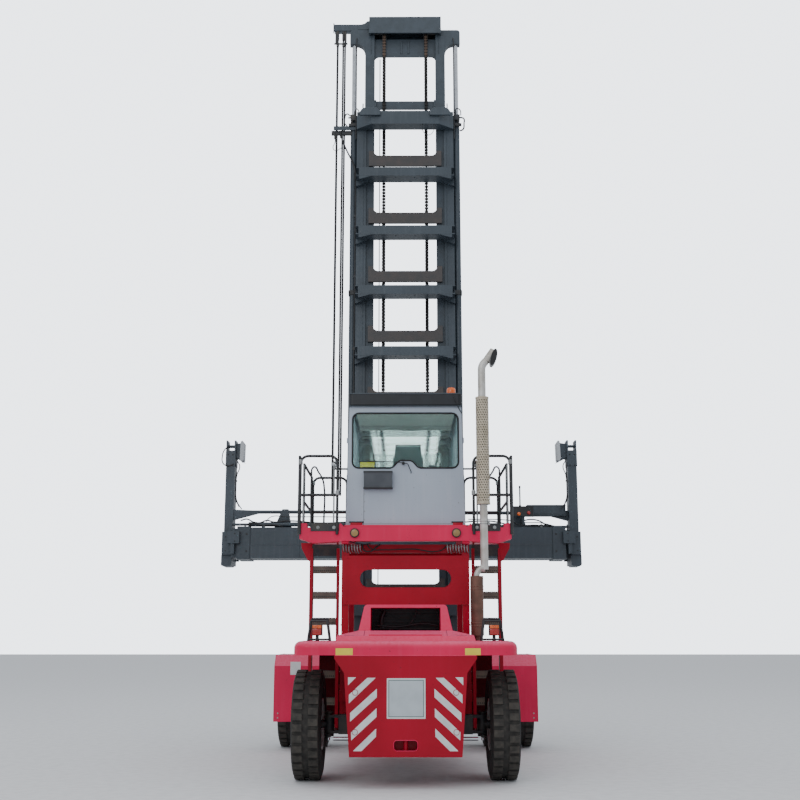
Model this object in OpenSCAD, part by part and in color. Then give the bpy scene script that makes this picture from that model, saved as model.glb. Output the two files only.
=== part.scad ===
/* [Wheels and axles] */
// Distance from the drive axle to the steer axle
wheelbase = 4500; // [4400:10:4600]
// Drive axle ahead of the machine's middle
drive_y = 1650; // [1600:10:1700]
// Tyre diameter out to the lugs' tips
tyre_d = 1365; // [1340:5:1380]
// Tyre section width
tyre_w = 375; // [350:5:385]
// Rim diameter at the bead seat
rim_d = 630; // [610:5:650]
// Overall width over the twin drive tyres
drive_width = 4200; // [4160:10:4300]
// Gap between the twin tyres
twin_gap = 70; // [50:5:90]
// Steer wheels' track, middle to middle
steer_track = 2490; // [2470:5:2530]
// King pin inboard of the steer wheel's middle
kingpin_inset = 260; // [255:5:275]
// Length of the knuckle's steering arm
steer_arm = 130; // [120:5:135]
// Steering angle each way, in degrees
steer_angle = 60; // [40:1:60]

/* [Chassis] */
// Half width of the main frame
frame_half = 400; // [385:5:405]
// Frame side plate thickness
frame_t = 40; // [30:5:50]
// Underside of the frame above the ground
frame_bottom = 450; // [430:5:480]
// Top of the frame above the ground
frame_top = 1050; // [1030:5:1080]
// Counterweight's rear face behind the steer axle
tail_length = 1000; // [980:5:1040]
// Counterweight's half width at its top
weight_top_half = 870; // [850:5:900]
// Counterweight's half width at its bottom
weight_bottom_half = 680; // [660:5:700]
// Underside of the counterweight above the ground
weight_bottom = 370; // [350:5:400]
// Tow pin diameter
tow_pin_d = 50; // [40:2:56]

/* [Rear deck and hood] */
// Half width of the rear deck
deck_half = 1380; // [1350:5:1400]
// Underside of the rear deck's skirt
deck_bottom = 1560; // [1540:5:1580]
// Top of the rear deck
deck_top = 1730; // [1715:5:1760]
// Height of the engine hood above the deck
hood_rise = 460; // [430:5:480]
// Exhaust pipe diameter
exhaust_d = 110; // [90:5:120]

/* [Cab and platform] */
// Top of the platform under the cab
platform_top = 3340; // [3320:5:3380]
// Half width of the platform over its wings
platform_half = 1500; // [1480:5:1520]
// Platform's rear edge behind the drive axle
platform_back = 3600; // [3560:10:3640]
// Cab length
cab_length = 1900; // [1860:10:1940]
// Cab's half width at its floor
cab_half = 860; // [850:5:870]
// Cab's half width at its eaves
cab_top_half = 820; // [810:5:840]
// Cab height, floor to eaves
cab_height = 1770; // [1740:10:1800]
// Cab wall thickness
cab_wall = 60; // [45:5:70]
// Handrail tube diameter
rail_d = 40; // [30:2:44]
// Handrail height above the platform's top
rail_height = 980; // [940:10:1020]

/* [Mast] */
// Mast's rear face ahead of the drive axle
mast_ahead = 550; // [540:5:580]
// Depth of the outer mast's channels
mast_depth = 400; // [380:5:420]
// Top of the outer mast's channels
mast_top = 11730; // [11600:10:11760]
// Pitch of the outer mast's cross beams
beam_pitch = 1160; // [1140:5:1180]
// Pitch of the inner mast's cross bars
bar_pitch = 1160; // [1140:5:1180]
// How far the inner mast is raised from its lowest place
inner_raised = 1250; // [1200:10:1300]
// Inner mast's whole lift
lift_stroke = 8850; // [8600:10:8900]
// Lift cylinder barrel diameter
lift_barrel_d = 124; // [116:2:126]
// Lift cylinder rod diameter
lift_rod_d = 84; // [76:2:90]
// Chain sheave pitch diameter
sheave_d = 272; // [262:2:276]
// Leaf chain width
chain_w = 56; // [48:2:64]

/* [Spreader] */
// Underside of the spreader's main beam
spreader_bottom = 3220; // [3200:5:3240]
// Height of the spreader's main beam
spreader_height = 575; // [560:5:590]
// Depth of each of the main beam's two channels
channel_depth = 320; // [310:5:330]
// Main beam's half length
spreader_half = 3065; // [3040:5:3080]
// From the main beam's end to the outer face of an arm, drawn in
arm_reach = 292; // [285:1:305]
// Travel of each telescopic arm
arm_travel = 3050; // [2900:10:3080]
// Side shift at rest, to the left
shift_at_rest = 80; // [60:5:80]
// Side shift each way from the middle
shift_travel = 600; // [500:10:620]
// Height of the arms' upright legs
leg_height = 2400; // [2300:10:2450]

/* [Hidden] */
arms_half = spreader_half + arm_reach;

// Running fit between a shaft and its bore, on the radius
fit = 0.3;
// Clearance between sliding or swinging pieces
gap = 5;
// Facets of a round piece, all of them taken as true curves
$fn = 48;
// Lugs round each shoulder of a tyre, and their height
lug_count = 32;
lug_h = 22;

// Places along the machine
steer_y = drive_y - wheelbase;
tail_y = steer_y - tail_length;
hub_z = tyre_d / 2;
rim_r = rim_d / 2;
lug_pitch = 360 / lug_count;
kingpin_x = steer_track / 2 - kingpin_inset;
drive_outer_x = drive_width / 2 - tyre_w / 2;
drive_inner_x = drive_outer_x - tyre_w - twin_gap;

// Steer axle and knuckles, heights from the hub
fork_in = 80;
fork_t = 35;
arm_t = 30;
arm_drop = fork_in + fork_t + gap;
eye_drop = arm_drop + arm_t + gap + 2;
eye_t = 32;
kingpin_r = 35;
spindle_r = 50;
boss_r = 62;

// Main frame
frame_front_y = drive_y + 340;
frame_rear_y = steer_y - 300;
pivot_y = drive_y + mast_ahead - 210;
pivot_z = 620;
pivot_r = 45;
nose_r = 80;
pivot_plate_gap = 10;
saddle_z = hub_z + 170;
sweep_r = norm([kingpin_inset + tyre_w / 2, hub_z]) + 14;
sweep_in = frame_half + 20;

// Cab and platform
platform_y = drive_y - platform_back;
cab_y = platform_y + 200;
cab_front_y = cab_y + cab_length;
platform_front_y = cab_front_y + 100;
engine_y = [steer_y + 550, steer_y + 1900];
axle_neck_y = drive_y - 430;
fender_back_y = drive_y - 1100;
cab_top = platform_top + cab_height;
post_x = [frame_half + 410, frame_half + 510];
post_d = 100;
rear_post_y = platform_y + 250;
front_post_y = cab_front_y - 150;
walk_y = platform_y + 750;
rail_r = rail_d / 2;
rail_x = platform_half + rail_r;
rail_z = platform_top + rail_height;
door_gap = 8;
door_y = [cab_y + 600, cab_y + 1220];
door_z = [platform_top + 80, cab_top - 120];
hinge_x = cab_half + 15;

// Exhaust, up the machine's right side behind the cab
exhaust_y = platform_y - 300;
exhaust_x = [980, 1090];
muffler_z = [deck_top + 70, deck_top + 870];
stack_z = [deck_top + 960, deck_top + 3790];
shield_z = [deck_top + 1860, deck_top + 3390];
tip_bend = 160;
tip_turn = 55;

// Mast
mast_y = drive_y + mast_ahead;
mast_front_y = mast_y + mast_depth;
flange_t = 60;
web_x = [895, 930];
outer_in_x = 790;
outer_bottom = 300;
foot_beam_y = [mast_y - 120, mast_y - 20];
beam_y = [mast_y - 350, mast_y - 20];
beam_h = 170;
beam_t = 16;
beam_face = 870;
top_beam_z = [mast_top - 385, mast_top - 120];
first_beam_z = mast_top - 1295;
beam_count = 7;
lip_x = 745;
inner_y = [mast_y + 40, mast_front_y - 40];
inner_flange_t = 35;
inner_x = [600, 780];
inner_web_x = [670, 710];
inner_bottom = 250 + inner_raised;
inner_top = mast_top + inner_raised + 740;
bar_y = [inner_y[0] - 53, inner_y[0] + 1];
bar_half = 695;
bar_h = 210;
bar_fillet = 95;
high_bar_z = inner_top - 1715;
first_bar_z = inner_top - 2900;
bar_count = 8;
head_y = [inner_y[0] + 70, inner_y[0] + 94];
head_box_x = 705;
lift_x = web_x[1] + 2 + lift_barrel_d / 2;
lift_y = mast_y + 120;
lift_top = mast_top - 60;
wing_z = [inner_top - 520, inner_top - 220];
wing_x = 1080;
chain_x = 410;
chain_t = 40;
chain_back_y = inner_y[0] + 2 + chain_t / 2;
sheave_y = chain_back_y + sheave_d / 2;
chain_front_y = chain_back_y + sheave_d;
sheave_z = inner_top - 200;
lower_limit = -inner_raised;
upper_limit = lift_stroke - inner_raised;

// Tilt cylinders
tilt_x = 520;
tilt_eye_y = pivot_y - 10;
tilt_eye_z = 2300;
tilt_foot_y = drive_y - 1170;
tilt_foot_z = 1250;
tilt_d = 160;
tilt_rod_d = 90;
tilt_pin_r = 35;
tilt_eye_w = 60;
tilt_length = norm([tilt_eye_y - tilt_foot_y, tilt_eye_z - tilt_foot_z]);
tilt_angle = atan2(tilt_eye_z - tilt_foot_z, tilt_eye_y - tilt_foot_y);

// Carriage and spreader
carriage_z = [spreader_bottom - 90, spreader_bottom + 1810];
carriage_y = [mast_front_y + 10, mast_front_y + 60];
guide_y = mast_front_y + 250;
guide_z = [spreader_bottom + 110, spreader_bottom + 1160];
guide_r = 50;
guide_x = shift_travel + 400;
spreader_y = drive_y + 1500;
spreader_mid_y = spreader_y + channel_depth;
spreader_front_y = spreader_y + 2 * channel_depth;
spreader_top = spreader_bottom + spreader_height;
beam_wall = 14;
slide_gap = 6;
tube_z = spreader_bottom + 886;
tube_r = 34;
stay_x = [2140, 2250];
ram_z = spreader_top + 60;
ram_r = 42;
ram_rod_r = 25;
leg_w = 180;
leg_bottom = spreader_bottom - 140;
leg_y = [spreader_mid_y - 150, spreader_mid_y + 150];

// Box from ranges along X, Y and Z
module block(x, y, z) {
    translate([x[0], y[0], z[0]]) cube([x[1] - x[0], y[1] - y[0], z[1] - z[0]]);
}

// Two copies, one each side of the machine's middle plane
module both_sides() {
    children();
    mirror([1, 0, 0]) children();
}

// Outline drawn in X and Z, run along Y
module along_y(y) {
    translate([0, y[1], 0]) rotate([90, 0, 0]) linear_extrude(y[1] - y[0]) children();
}

// Outline drawn in Y and Z, run along X
module along_x(x) {
    translate([x[0], 0, 0]) rotate([90, 0, 90]) linear_extrude(x[1] - x[0]) children();
}

// Outline drawn in X and Y, run up Z
module along_z(z) {
    translate([0, 0, z[0]]) linear_extrude(z[1] - z[0]) children();
}

module rod_x(r, x, y, z) {
    translate([x[0], y, z]) rotate([0, 90, 0]) cylinder(r = r, h = x[1] - x[0]);
}

module rod_y(r, x, y, z) {
    translate([x, y[0], z]) rotate([-90, 0, 0]) cylinder(r = r, h = y[1] - y[0]);
}

module rod_z(r, x, y, z) {
    translate([x, y, z[0]]) cylinder(r = r, h = z[1] - z[0]);
}

// Rectangle with rounded corners, from two ranges
module soft_rect(x, y, r) {
    translate([x[0] + r, y[0]]) square([x[1] - x[0] - 2 * r, y[1] - y[0]]);
    translate([x[0], y[0] + r]) square([x[1] - x[0], y[1] - y[0] - 2 * r]);
    for (u = [x[0] + r, x[1] - r], v = [y[0] + r, y[1] - r]) translate([u, v]) circle(r);
}

// Quarter bend of a tube in the XZ plane, about a centre, from one angle on
module bend_xz(at, bend, r, from, turn) {
    translate(at) rotate([90, 0, 0]) rotate([0, 0, from])
        rotate_extrude(angle = turn) translate([bend, 0]) circle(r);
}

// Main frame side plate: arched over both axles, with a round nose at the mast pivot
module frame_side() {
    arch = [[steer_y, 300, saddle_z - 30], [drive_y, 260, saddle_z]];
    difference() {
        union() {
            polygon([
                [frame_rear_y, frame_bottom + 90], [frame_rear_y, frame_top],
                [drive_y + 180, frame_top], [pivot_y + 38, pivot_z + 70],
                [pivot_y + 38, pivot_z - 70], [drive_y + 120, frame_bottom],
                [frame_rear_y + 200, frame_bottom]
            ]);
            translate([pivot_y, pivot_z]) circle(nose_r);
        }
        for (a = arch) translate([a[0] - a[1], frame_bottom - 10])
            square([2 * a[1], a[2] - frame_bottom + 10]);
        translate([pivot_y, pivot_z]) circle(pivot_r + fit);
    }
}

// Cross members of the frame: back, front, underside, top
cross_members = [
    [frame_rear_y, frame_rear_y + 40, frame_bottom + 90, frame_top],
    [steer_y - 150, steer_y + 150, hub_z + 168, hub_z + 218],
    [steer_y + 600, steer_y + 700, frame_bottom + 30, frame_bottom + 150],
    [steer_y + 1700, steer_y + 1800, frame_bottom + 30, frame_bottom + 150],
    [steer_y + 2050, steer_y + 2110, hub_z + 118, frame_top],
    [drive_y - 950, drive_y - 890, hub_z + 118, frame_top],
    [drive_y + 60, drive_y + 120, hub_z + 262, frame_top]
];

module chassis_frame() {
    color("#b3202c") {
        both_sides() {
            along_x([frame_half - frame_t, frame_half]) frame_side();
            // Outriggers under the cab's posts and the mudguards
            for (y = [rear_post_y, front_post_y])
                block([frame_half, post_x[1] + 20], [y, y + post_d], [frame_top - 150, frame_top]);
            block([frame_half, drive_inner_x - tyre_w / 2 - 20], [drive_y - 1090, drive_y - 960],
                  [frame_top - 150, frame_top]);
            // Feet of the tilt cylinders
            for (x = [tilt_x - tilt_eye_w / 2 - 35, tilt_x + tilt_eye_w / 2 + gap])
                along_x([x, x + 30]) difference() {
                    union() {
                        polygon([[tilt_foot_y - 70, tilt_foot_z], [tilt_foot_y + 70, tilt_foot_z],
                                 [tilt_foot_y + 150, frame_top - 100],
                                 [tilt_foot_y - 60, frame_top - 100]]);
                        translate([tilt_foot_y, tilt_foot_z]) circle(70);
                    }
                }
            rod_x(tilt_pin_r, [tilt_x - 66, tilt_x + 66], tilt_foot_y, tilt_foot_z);
            block([frame_half, tilt_x + 66], [tilt_foot_y - 60, tilt_foot_y + 150],
                  [frame_top - 140, frame_top - 100]);
            // Mast pivot pin, fixed in the frame's nose
            rod_x(pivot_r, [frame_half - frame_t - 60, frame_half + 60], pivot_y, pivot_z);
        }
        for (c = cross_members)
            block([-frame_half + frame_t, frame_half - frame_t], [c[0], c[1]], [c[2], c[3]]);
    }
}

module counterweight() {
    mid_z = deck_bottom - 210;
    mid_half = weight_top_half - 120;
    color("#b3202c") difference() {
        along_y([tail_y, frame_rear_y]) polygon([
            [-weight_bottom_half, weight_bottom], [weight_bottom_half, weight_bottom],
            [mid_half, mid_z], [weight_top_half, deck_bottom - 40], [weight_top_half, deck_bottom],
            [-weight_top_half, deck_bottom], [-weight_top_half, deck_bottom - 40],
            [-mid_half, mid_z]
        ]);
        // Room for the steered wheels
        both_sides() intersection() {
            rod_z(sweep_r, kingpin_x, steer_y, [weight_bottom - 20, tyre_d + 60]);
            block([sweep_in, 3000], [tail_y, steer_y], [0, tyre_d + 60]);
        }
        // Tow slot and the bore of its pin
        along_y([tail_y - 10, tail_y + 160]) soft_rect([-140, 140], [445, 560], 35);
        rod_z(tow_pin_d / 2 + fit, 0, tail_y + 70, [weight_bottom + 20, 700]);
    }
}

module tow_pin() {
    color("#c22a36") {
        rod_z(tow_pin_d / 2, 0, tail_y + 70, [weight_bottom + 20, 690]);
    }
}

module rear_deck() {
    front_y = rear_post_y - 20;
    corner = 200;
    lip = 85;
    wall = 40;
    color("#b3202c") difference() {
        union() {
            // Lower part, then the top within the rounded lip
            for (d = [[0, deck_top - lip], [lip, deck_top]]) along_z([deck_bottom, d[1]]) {
                soft_rect([-deck_half + d[0], deck_half - d[0]],
                          [tail_y + d[0], tail_y + 3 * corner], corner - d[0]);
                translate([-deck_half + d[0], tail_y + corner])
                    square([2 * (deck_half - d[0]), front_y - tail_y - corner]);
            }
            rod_x(lip, [-deck_half + corner, deck_half - corner], tail_y + lip, deck_top - lip);
            both_sides() {
                rod_y(lip, deck_half - lip, [tail_y + corner, front_y], deck_top - lip);
                translate([deck_half - corner, tail_y + corner, deck_top - lip]) rotate([0, 0, -90])
                    rotate_extrude(angle = 90) translate([corner - lip, 0]) circle(lip);
            }
        }
        block([-deck_half + wall, deck_half - wall], [tail_y + wall + 70, front_y - wall],
              [deck_bottom - 10, deck_top - wall]);
    }
}

hood_y = [tail_y + 180, rear_post_y - 40];
hood_top = deck_top + hood_rise;
cowl_low = deck_top + 130;

// Side view of the hood: a low rear slope, then the cowl's slanted rear face
module hood_profile() {
    y = hood_y[0];
    polygon([[y, deck_top], [y + 40, deck_top + 60], [y + 420, cowl_low], [y + 560, hood_top],
             [hood_y[1], hood_top], [hood_y[1], deck_top]]);
}

// Rear view of the hood: sloping skirt under an upright cowl with rounded shoulders
module hood_outline() {
    polygon([[-870, deck_top], [870, deck_top], [850, deck_top + 70], [600, cowl_low],
             [540, hood_top - 50], [-540, hood_top - 50], [-600, cowl_low], [-850, deck_top + 70]]);
    translate([-490, hood_top - 51]) square([980, 51]);
    for (x = [-490, 490]) translate([x, hood_top - 50]) circle(50);
}

module engine_hood() {
    y = hood_y[0];
    color("#b3202c") {
        difference() {
            intersection() {
                along_x([-960, 960]) hood_profile();
                along_y(hood_y) hood_outline();
            }
            // Hollow under the outlet's floor and under the lid
            along_y([y + 560, y + 1160]) polygon([[-790, deck_top - 1], [790, deck_top - 1],
                [770, deck_top + 40], [620, cowl_low - 30], [-620, cowl_low - 30],
                [-770, deck_top + 40]]);
            along_y([y + 1160, hood_y[1] - 30]) polygon([[-790, deck_top - 1], [790, deck_top - 1],
                [770, deck_top + 40], [560, cowl_low], [500, hood_top - 40], [-500, hood_top - 40],
                [-560, cowl_low], [-770, deck_top + 40]]);
            // Air outlet between the cowl's cheeks
            block([-450, 450], [y + 330, y + 1130], [cowl_low, hood_top - 40]);
        }
        // Raised panel in the middle of the rear slope
        along_x([-455, 455]) polygon([[y + 60, deck_top + 55], [y + 325, deck_top + 105],
            [y + 325, deck_top + 127], [y + 60, deck_top + 79]]);
    }
}

module hood_grille() {
    back = hood_y[0] + 1100;
    color("#26282b") {
        block([-450 + fit, 450 - fit], [back, back + 30 - fit], [cowl_low + fit, hood_top - 40 - fit]);
        for (i = [0:6]) let (z = cowl_low + 20 + i * 38)
            block([-450 + fit, 450 - fit], [back - 40, back], [z, z + 10]);
    }
}

module engine_block() {
    color("#3b3d40") {
        block([-330, 330], engine_y, [frame_bottom + 150, deck_bottom - 80]);
    }
}

module drive_axle() {
    color("#33363a") {
        rod_x(150, [-drive_inner_x - 20, drive_inner_x + 20], drive_y, hub_z);
        rod_x(120, [-drive_inner_x - 240, drive_inner_x + 240], drive_y, hub_z);
        // Turned differential housing
        translate([0, drive_y, hub_z]) rotate([0, 90, 0]) rotate_extrude() polygon([
            [0, -290], [130, -290], [250, -130], [250, 130], [130, 290], [0, 290]
        ]);
        rod_y(120, 0, [axle_neck_y, drive_y], hub_z);
        both_sides() block([frame_half - frame_t - 60, frame_half + 30], [drive_y - 150, drive_y + 150],
                           [hub_z - 60, saddle_z]);
    }
}

steer_ram_z = hub_z - eye_drop - eye_t / 2;
steer_ram_y = steer_y - steer_arm;

module steer_axle() {
    color("#33363a") {
        difference() {
            union() {
                block([-kingpin_x + 125, kingpin_x - 125], [steer_y - 110, steer_y + 110],
                      [hub_z - 120, hub_z + 120]);
                both_sides() for (z = [-fork_in - fork_t, fork_in]) {
                    block([kingpin_x - 130, kingpin_x], [steer_y - 65, steer_y + 65],
                          [hub_z + z, hub_z + z + fork_t]);
                    rod_z(65, kingpin_x, steer_y, [hub_z + z, hub_z + z + fork_t]);
                }
            }
            both_sides() rod_z(kingpin_r + fit, kingpin_x, steer_y, [hub_z - 200, hub_z + 200]);
        }
        // Trunnion block under the frame's bolster
        block([-280, 280], [steer_y - 90, steer_y + 90], [hub_z + 120, hub_z + 168]);
        // Steering cylinder behind the beam, in its two carriers
        difference() {
            union() {
                rod_x(52, [-340, 340], steer_ram_y, steer_ram_z);
                both_sides() block([300, 340], [steer_ram_y - 60, steer_y + 100],
                                   [steer_ram_z - 60, hub_z - 119]);
            }
            rod_x(26 + fit, [-341, 341], steer_ram_y, steer_ram_z);
        }
    }
}

module steer_rod() {
    color("#c9ccd0") {
        rod_x(26, [-kingpin_x + 60, kingpin_x - 60], steer_ram_y, steer_ram_z);
        both_sides() difference() {
            union() {
                block([kingpin_x - 130, kingpin_x], [steer_ram_y - 20, steer_ram_y + 20],
                      [steer_ram_z - eye_t / 2, steer_ram_z + eye_t / 2]);
                rod_z(30, kingpin_x, steer_ram_y, [steer_ram_z - eye_t / 2, steer_ram_z + eye_t / 2]);
            }
            rod_z(14, kingpin_x, steer_ram_y, [steer_ram_z - eye_t, steer_ram_z + eye_t]);
        }
    }
}

module knuckle() {
    color("#3b3e42") {
        rod_z(boss_r, kingpin_x, steer_y, [hub_z - fork_in + 1, hub_z + fork_in - 1]);
        rod_z(kingpin_r, kingpin_x, steer_y, [hub_z - arm_drop - arm_t, hub_z + fork_in + fork_t + 20]);
        rod_x(spindle_r, [kingpin_x, steer_track / 2 + 110], steer_y, hub_z);
        rod_z(60, kingpin_x, steer_y, [hub_z - arm_drop - arm_t, hub_z - arm_drop]);
        block([kingpin_x - 32, kingpin_x + 32], [steer_ram_y, steer_y],
              [hub_z - arm_drop - arm_t, hub_z - arm_drop]);
        rod_z(32, kingpin_x, steer_ram_y, [hub_z - arm_drop - arm_t, hub_z - arm_drop]);
    }
}

module knuckle_r() { knuckle(); }
module knuckle_l() { mirror([1, 0, 0]) knuckle(); }

// Tyre's half section: radius, then width from the middle
module tyre_section() {
    half = tyre_w / 2;
    side = [[rim_r, 0.78], [rim_r + 60, 0.9], [rim_r + 150, 1], [hub_z - 120, 0.99],
            [hub_z - 50, 0.93], [hub_z - lug_h, 0.86]];
    polygon(concat([for (p = side) [p[0], p[1] * half]],
                   [for (i = [len(side) - 1:-1:0]) [side[i][0], -side[i][1] * half]]));
}

// Ring of square lugs about the tyre's axis, from the middle groove out to the shoulder
module lug_ring() {
    linear_extrude(tyre_w * 0.32) difference() {
        intersection() {
            circle(hub_z);
            polygon([for (i = [0:lug_count - 1], p = [[-0.34, -2], [-0.3, 50], [0.3, 50], [0.34, -2]])
                let (a = (i + p[0]) * lug_pitch, r = hub_z - lug_h + p[1]) [r * cos(a), r * sin(a)]]);
        }
        circle(hub_z - lug_h - 20);
    }
}

module tyre(x, y) {
    color("#1f2022") translate([x, y, hub_z]) rotate([0, 90, 0]) {
        rotate_extrude($fn = 96) tyre_section();
        translate([0, 0, tyre_w * 0.1]) lug_ring();
        rotate([180, 0, lug_pitch / 2]) translate([0, 0, tyre_w * 0.1]) lug_ring();
    }
}

module drive_tyres_r() {
    for (x = [drive_inner_x, drive_outer_x]) tyre(x, drive_y);
}

module drive_tyres_l() { mirror([1, 0, 0]) drive_tyres_r(); }
module steer_tyre_r() { tyre(steer_track / 2, steer_y); }
module steer_tyre_l() { mirror([1, 0, 0]) steer_tyre_r(); }

// Turned ring about a wheel's axis: inner and outer radius, then the range along X
module ring_x(r, x, y) {
    translate([x[0], y, hub_z]) rotate([0, 90, 0]) difference() {
        cylinder(r = r[1], h = x[1] - x[0]);
        translate([0, 0, -1]) cylinder(r = r[0], h = x[1] - x[0] + 2);
    }
}

module rim_barrel(x, y) {
    half = tyre_w * 0.43;
    ring_x([rim_r - 22, rim_r - fit], [x - half, x + half], y);
    for (u = [x - half - 12, x + half]) ring_x([rim_r - 22, rim_r + 8], [u, u + 12], y);
}

module drive_rims_r() {
    meet = (drive_inner_x + drive_outer_x) / 2;
    color("#d8d9da") {
        for (x = [drive_inner_x, drive_outer_x]) rim_barrel(x, drive_y);
        ring_x([rim_r - 22, rim_r - 6], [drive_inner_x + tyre_w * 0.43, drive_outer_x - tyre_w * 0.43],
               drive_y);
        ring_x([120 + fit, rim_r - 20], [meet - 20, meet + 20], drive_y);
        ring_x([120 + fit, 190], [drive_inner_x + 30, meet + 26], drive_y);
        ring_x([0, 190], [meet + 26, drive_outer_x + 20], drive_y);
        ring_x([0, 130], [drive_outer_x + 20, drive_outer_x + 60], drive_y);
    }
}

module drive_rims_l() { mirror([1, 0, 0]) drive_rims_r(); }

module steer_rim_r() {
    x = steer_track / 2;
    color("#d8d9da") {
        rim_barrel(x, steer_y);
        ring_x([spindle_r + fit, rim_r - 20], [x + 50, x + 75], steer_y);
        ring_x([spindle_r + fit, 105], [x - 70, x + 112], steer_y);
        ring_x([0, 85], [x + 112, x + 135], steer_y);
    }
}

module steer_rim_l() { mirror([1, 0, 0]) steer_rim_r(); }

module prop_shaft() {
    color("#55585c") {
        rod_y(55, 0, [engine_y[1], axle_neck_y], hub_z);
        for (y = [engine_y[1] + 30, axle_neck_y - 100]) rod_y(90, 0, [y, y + 70], hub_z);
    }
}

// Mudguard over each pair of drive wheels, an outline drawn in Y and Z
module front_fenders() {
    x = [drive_inner_x - tyre_w / 2 - 20, drive_width / 2];
    back = fender_back_y;
    top = tyre_d + 135;
    wall = 14;
    path = [[back, 470], [back, top - 170], [back + 170, top], [drive_y + 420, top],
            [drive_y + 560, top - 90]];
    color("#b3202c") both_sides() {
        along_x(x) polygon([path[0], path[1], path[2], path[3], path[4],
            path[4] + [-10, -wall], path[3] + [-4, -wall], path[2] + [6, -wall],
            path[1] + [wall, -6], path[0] + [wall, 0]]);
        // Inner skirt against the frame's outrigger
        block([x[0], x[0] + wall], [back, back + 330], [470, frame_top]);
        along_x([x[0], x[0] + wall]) polygon([[back + 2, frame_top - 1], [back + 330, frame_top - 1],
            [back + 330, top - 4], [back + 170, top - 4], [back + 2, top - 172]]);
    }
}

module side_tanks() {
    color("#b3202c") both_sides() difference() {
        along_y([rear_post_y + post_d + 40, front_post_y - 40]) soft_rect(
            [frame_half, post_x[1] + 20], [frame_bottom + 110, frame_top + 350], 60);
    }
}

module ladders() {
    x = [990, 1370];
    y = [walk_y - 130, walk_y];
    color("#b3202c") both_sides() {
        for (u = [x[0], x[1] - 20]) block([u, u + 20], y, [440, platform_top - 40]);
        block([post_x[1] + 20, x[0]], y, [frame_top, frame_top + 60]);
    }
    // Treads folded down at their edges
    color("#5a4d48") both_sides() for (i = [0:6]) let (z = platform_top - 544 - i * 373)
        difference() {
            block([x[0] + 20, x[1] - 20], [y[0] - 20, y[1] + 30], [z - 100, z]);
            block([x[0] + 30, x[1] - 30], [y[0] - 12, y[1] + 22], [z - 101, z - 10]);
        }
}

module cab_support() {
    panel_z = [2230, 2920];
    color("#a51d2a") {
        both_sides() for (y = [rear_post_y, front_post_y])
            block(post_x, [y, y + post_d], [frame_top, platform_top - 260]);
        along_y([rear_post_y - 20, rear_post_y]) difference() {
            translate([-post_x[1], panel_z[0]]) square([2 * post_x[1], panel_z[1] - panel_z[0]]);
            soft_rect([-650, 650], [2470, 2720], 124);
        }
        // Cross tubes between the posts
        block([-post_x[0], post_x[0]], [rear_post_y + 20, rear_post_y + 80], [2960, platform_top - 260]);
        block([-post_x[0], post_x[0]], [front_post_y + 20, front_post_y + 80],
              [2900, platform_top - 260]);
    }
}

module cab_platform() {
    low = platform_top - 260;
    color("#c22a38") {
        // Floor under the cab on two long beams
        block([-cab_half - 10, cab_half + 10], [platform_y + 50, platform_front_y],
              [platform_top - 60, platform_top]);
        both_sides() block(post_x, [platform_y + 50, platform_front_y], [low, platform_top - 60]);
        block([-900, 900], [platform_y, platform_y + 50], [low + 30, platform_top - 30]);
        both_sides() {
            // Rear wing, side walk and the beam along its edge
            along_y([platform_y, walk_y - 550]) polygon([
                [cab_half + 10, low + 30], [platform_half - 200, low], [platform_half, low + 60],
                [platform_half, platform_top + 20], [platform_half - 100, platform_top + 20],
                [platform_half - 100, platform_top - 40], [cab_half + 130, platform_top - 40],
                [cab_half + 60, platform_top + 20], [cab_half + 10, platform_top - 30]
            ]);
            block([cab_half + 10, platform_half], [walk_y, platform_front_y],
                  [platform_top - 100, platform_top - 40]);
            block([platform_half - 40, platform_half], [walk_y - 550, platform_front_y],
                  [platform_top - 140, platform_top - 40]);
        }
    }
}

// Upright hoop of handrail in a plane across the machine
module rail_hoop(x, y, foot) {
    r = 110;
    for (u = x) rod_z(rail_r, u, y, [foot, rail_z - r]);
    rod_x(rail_r, [x[0] + r, x[1] - r], y, rail_z);
    rod_x(rail_r, x, y, (foot + rail_z) / 2);
    bend_xz([x[0] + r, y, rail_z - r], r, rail_r, 90, 90);
    bend_xz([x[1] - r, y, rail_z - r], r, rail_r, 0, 90);
}

// Hoop with two leaning legs that stand on the deck
module lamp_guard(y, high) {
    lean = 35;
    for (x = [[945, lean], [1218, -lean]]) intersection() {
        translate([x[0], y, deck_top]) rotate([0, atan2(x[1], high), 0])
            translate([0, 0, -10]) cylinder(r = 12, h = high + 20);
        block([900, 1260], [y - 20, y + 20], [deck_top, deck_top + high + 12]);
    }
    rod_x(12, [945 + lean, 1218 - lean], y, deck_top + high);
    rod_x(12, [948, 1215], y, deck_top + 20);
}

module handrails() {
    foot = platform_top - 140;
    mid = (foot + rail_z) / 2;
    sides = [[platform_y + 60, walk_y - 560], [walk_y + 40, platform_front_y - 30]];
    color("#17181a") both_sides() {
        rail_hoop([970, rail_x - 20], platform_y - rail_r, foot);
        for (s = sides) {
            for (y = s) rod_z(rail_r, rail_x, y, [foot, rail_z]);
            for (z = [mid, rail_z]) rod_y(rail_r, rail_x, [s[0] - rail_r, s[1] + rail_r], z);
        }
        rail_hoop([cab_half + 90, rail_x - 20], platform_front_y + rail_r, foot);
        // Guards round the tail lamps, a lower hoop behind them and a higher one ahead
        lamp_guard(tail_y + 230, 244);
        lamp_guard(tail_y + 400, 270);
    }
}

// Front view of the cab, drawn in by an inset
module cab_outline(inset) {
    polygon([[-cab_half + inset, platform_top + inset], [cab_half - inset, platform_top + inset],
             [cab_top_half - inset, cab_top - inset], [-cab_top_half + inset, cab_top - inset]]);
}

window_z = [platform_top + 840, cab_top - 120];

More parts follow.
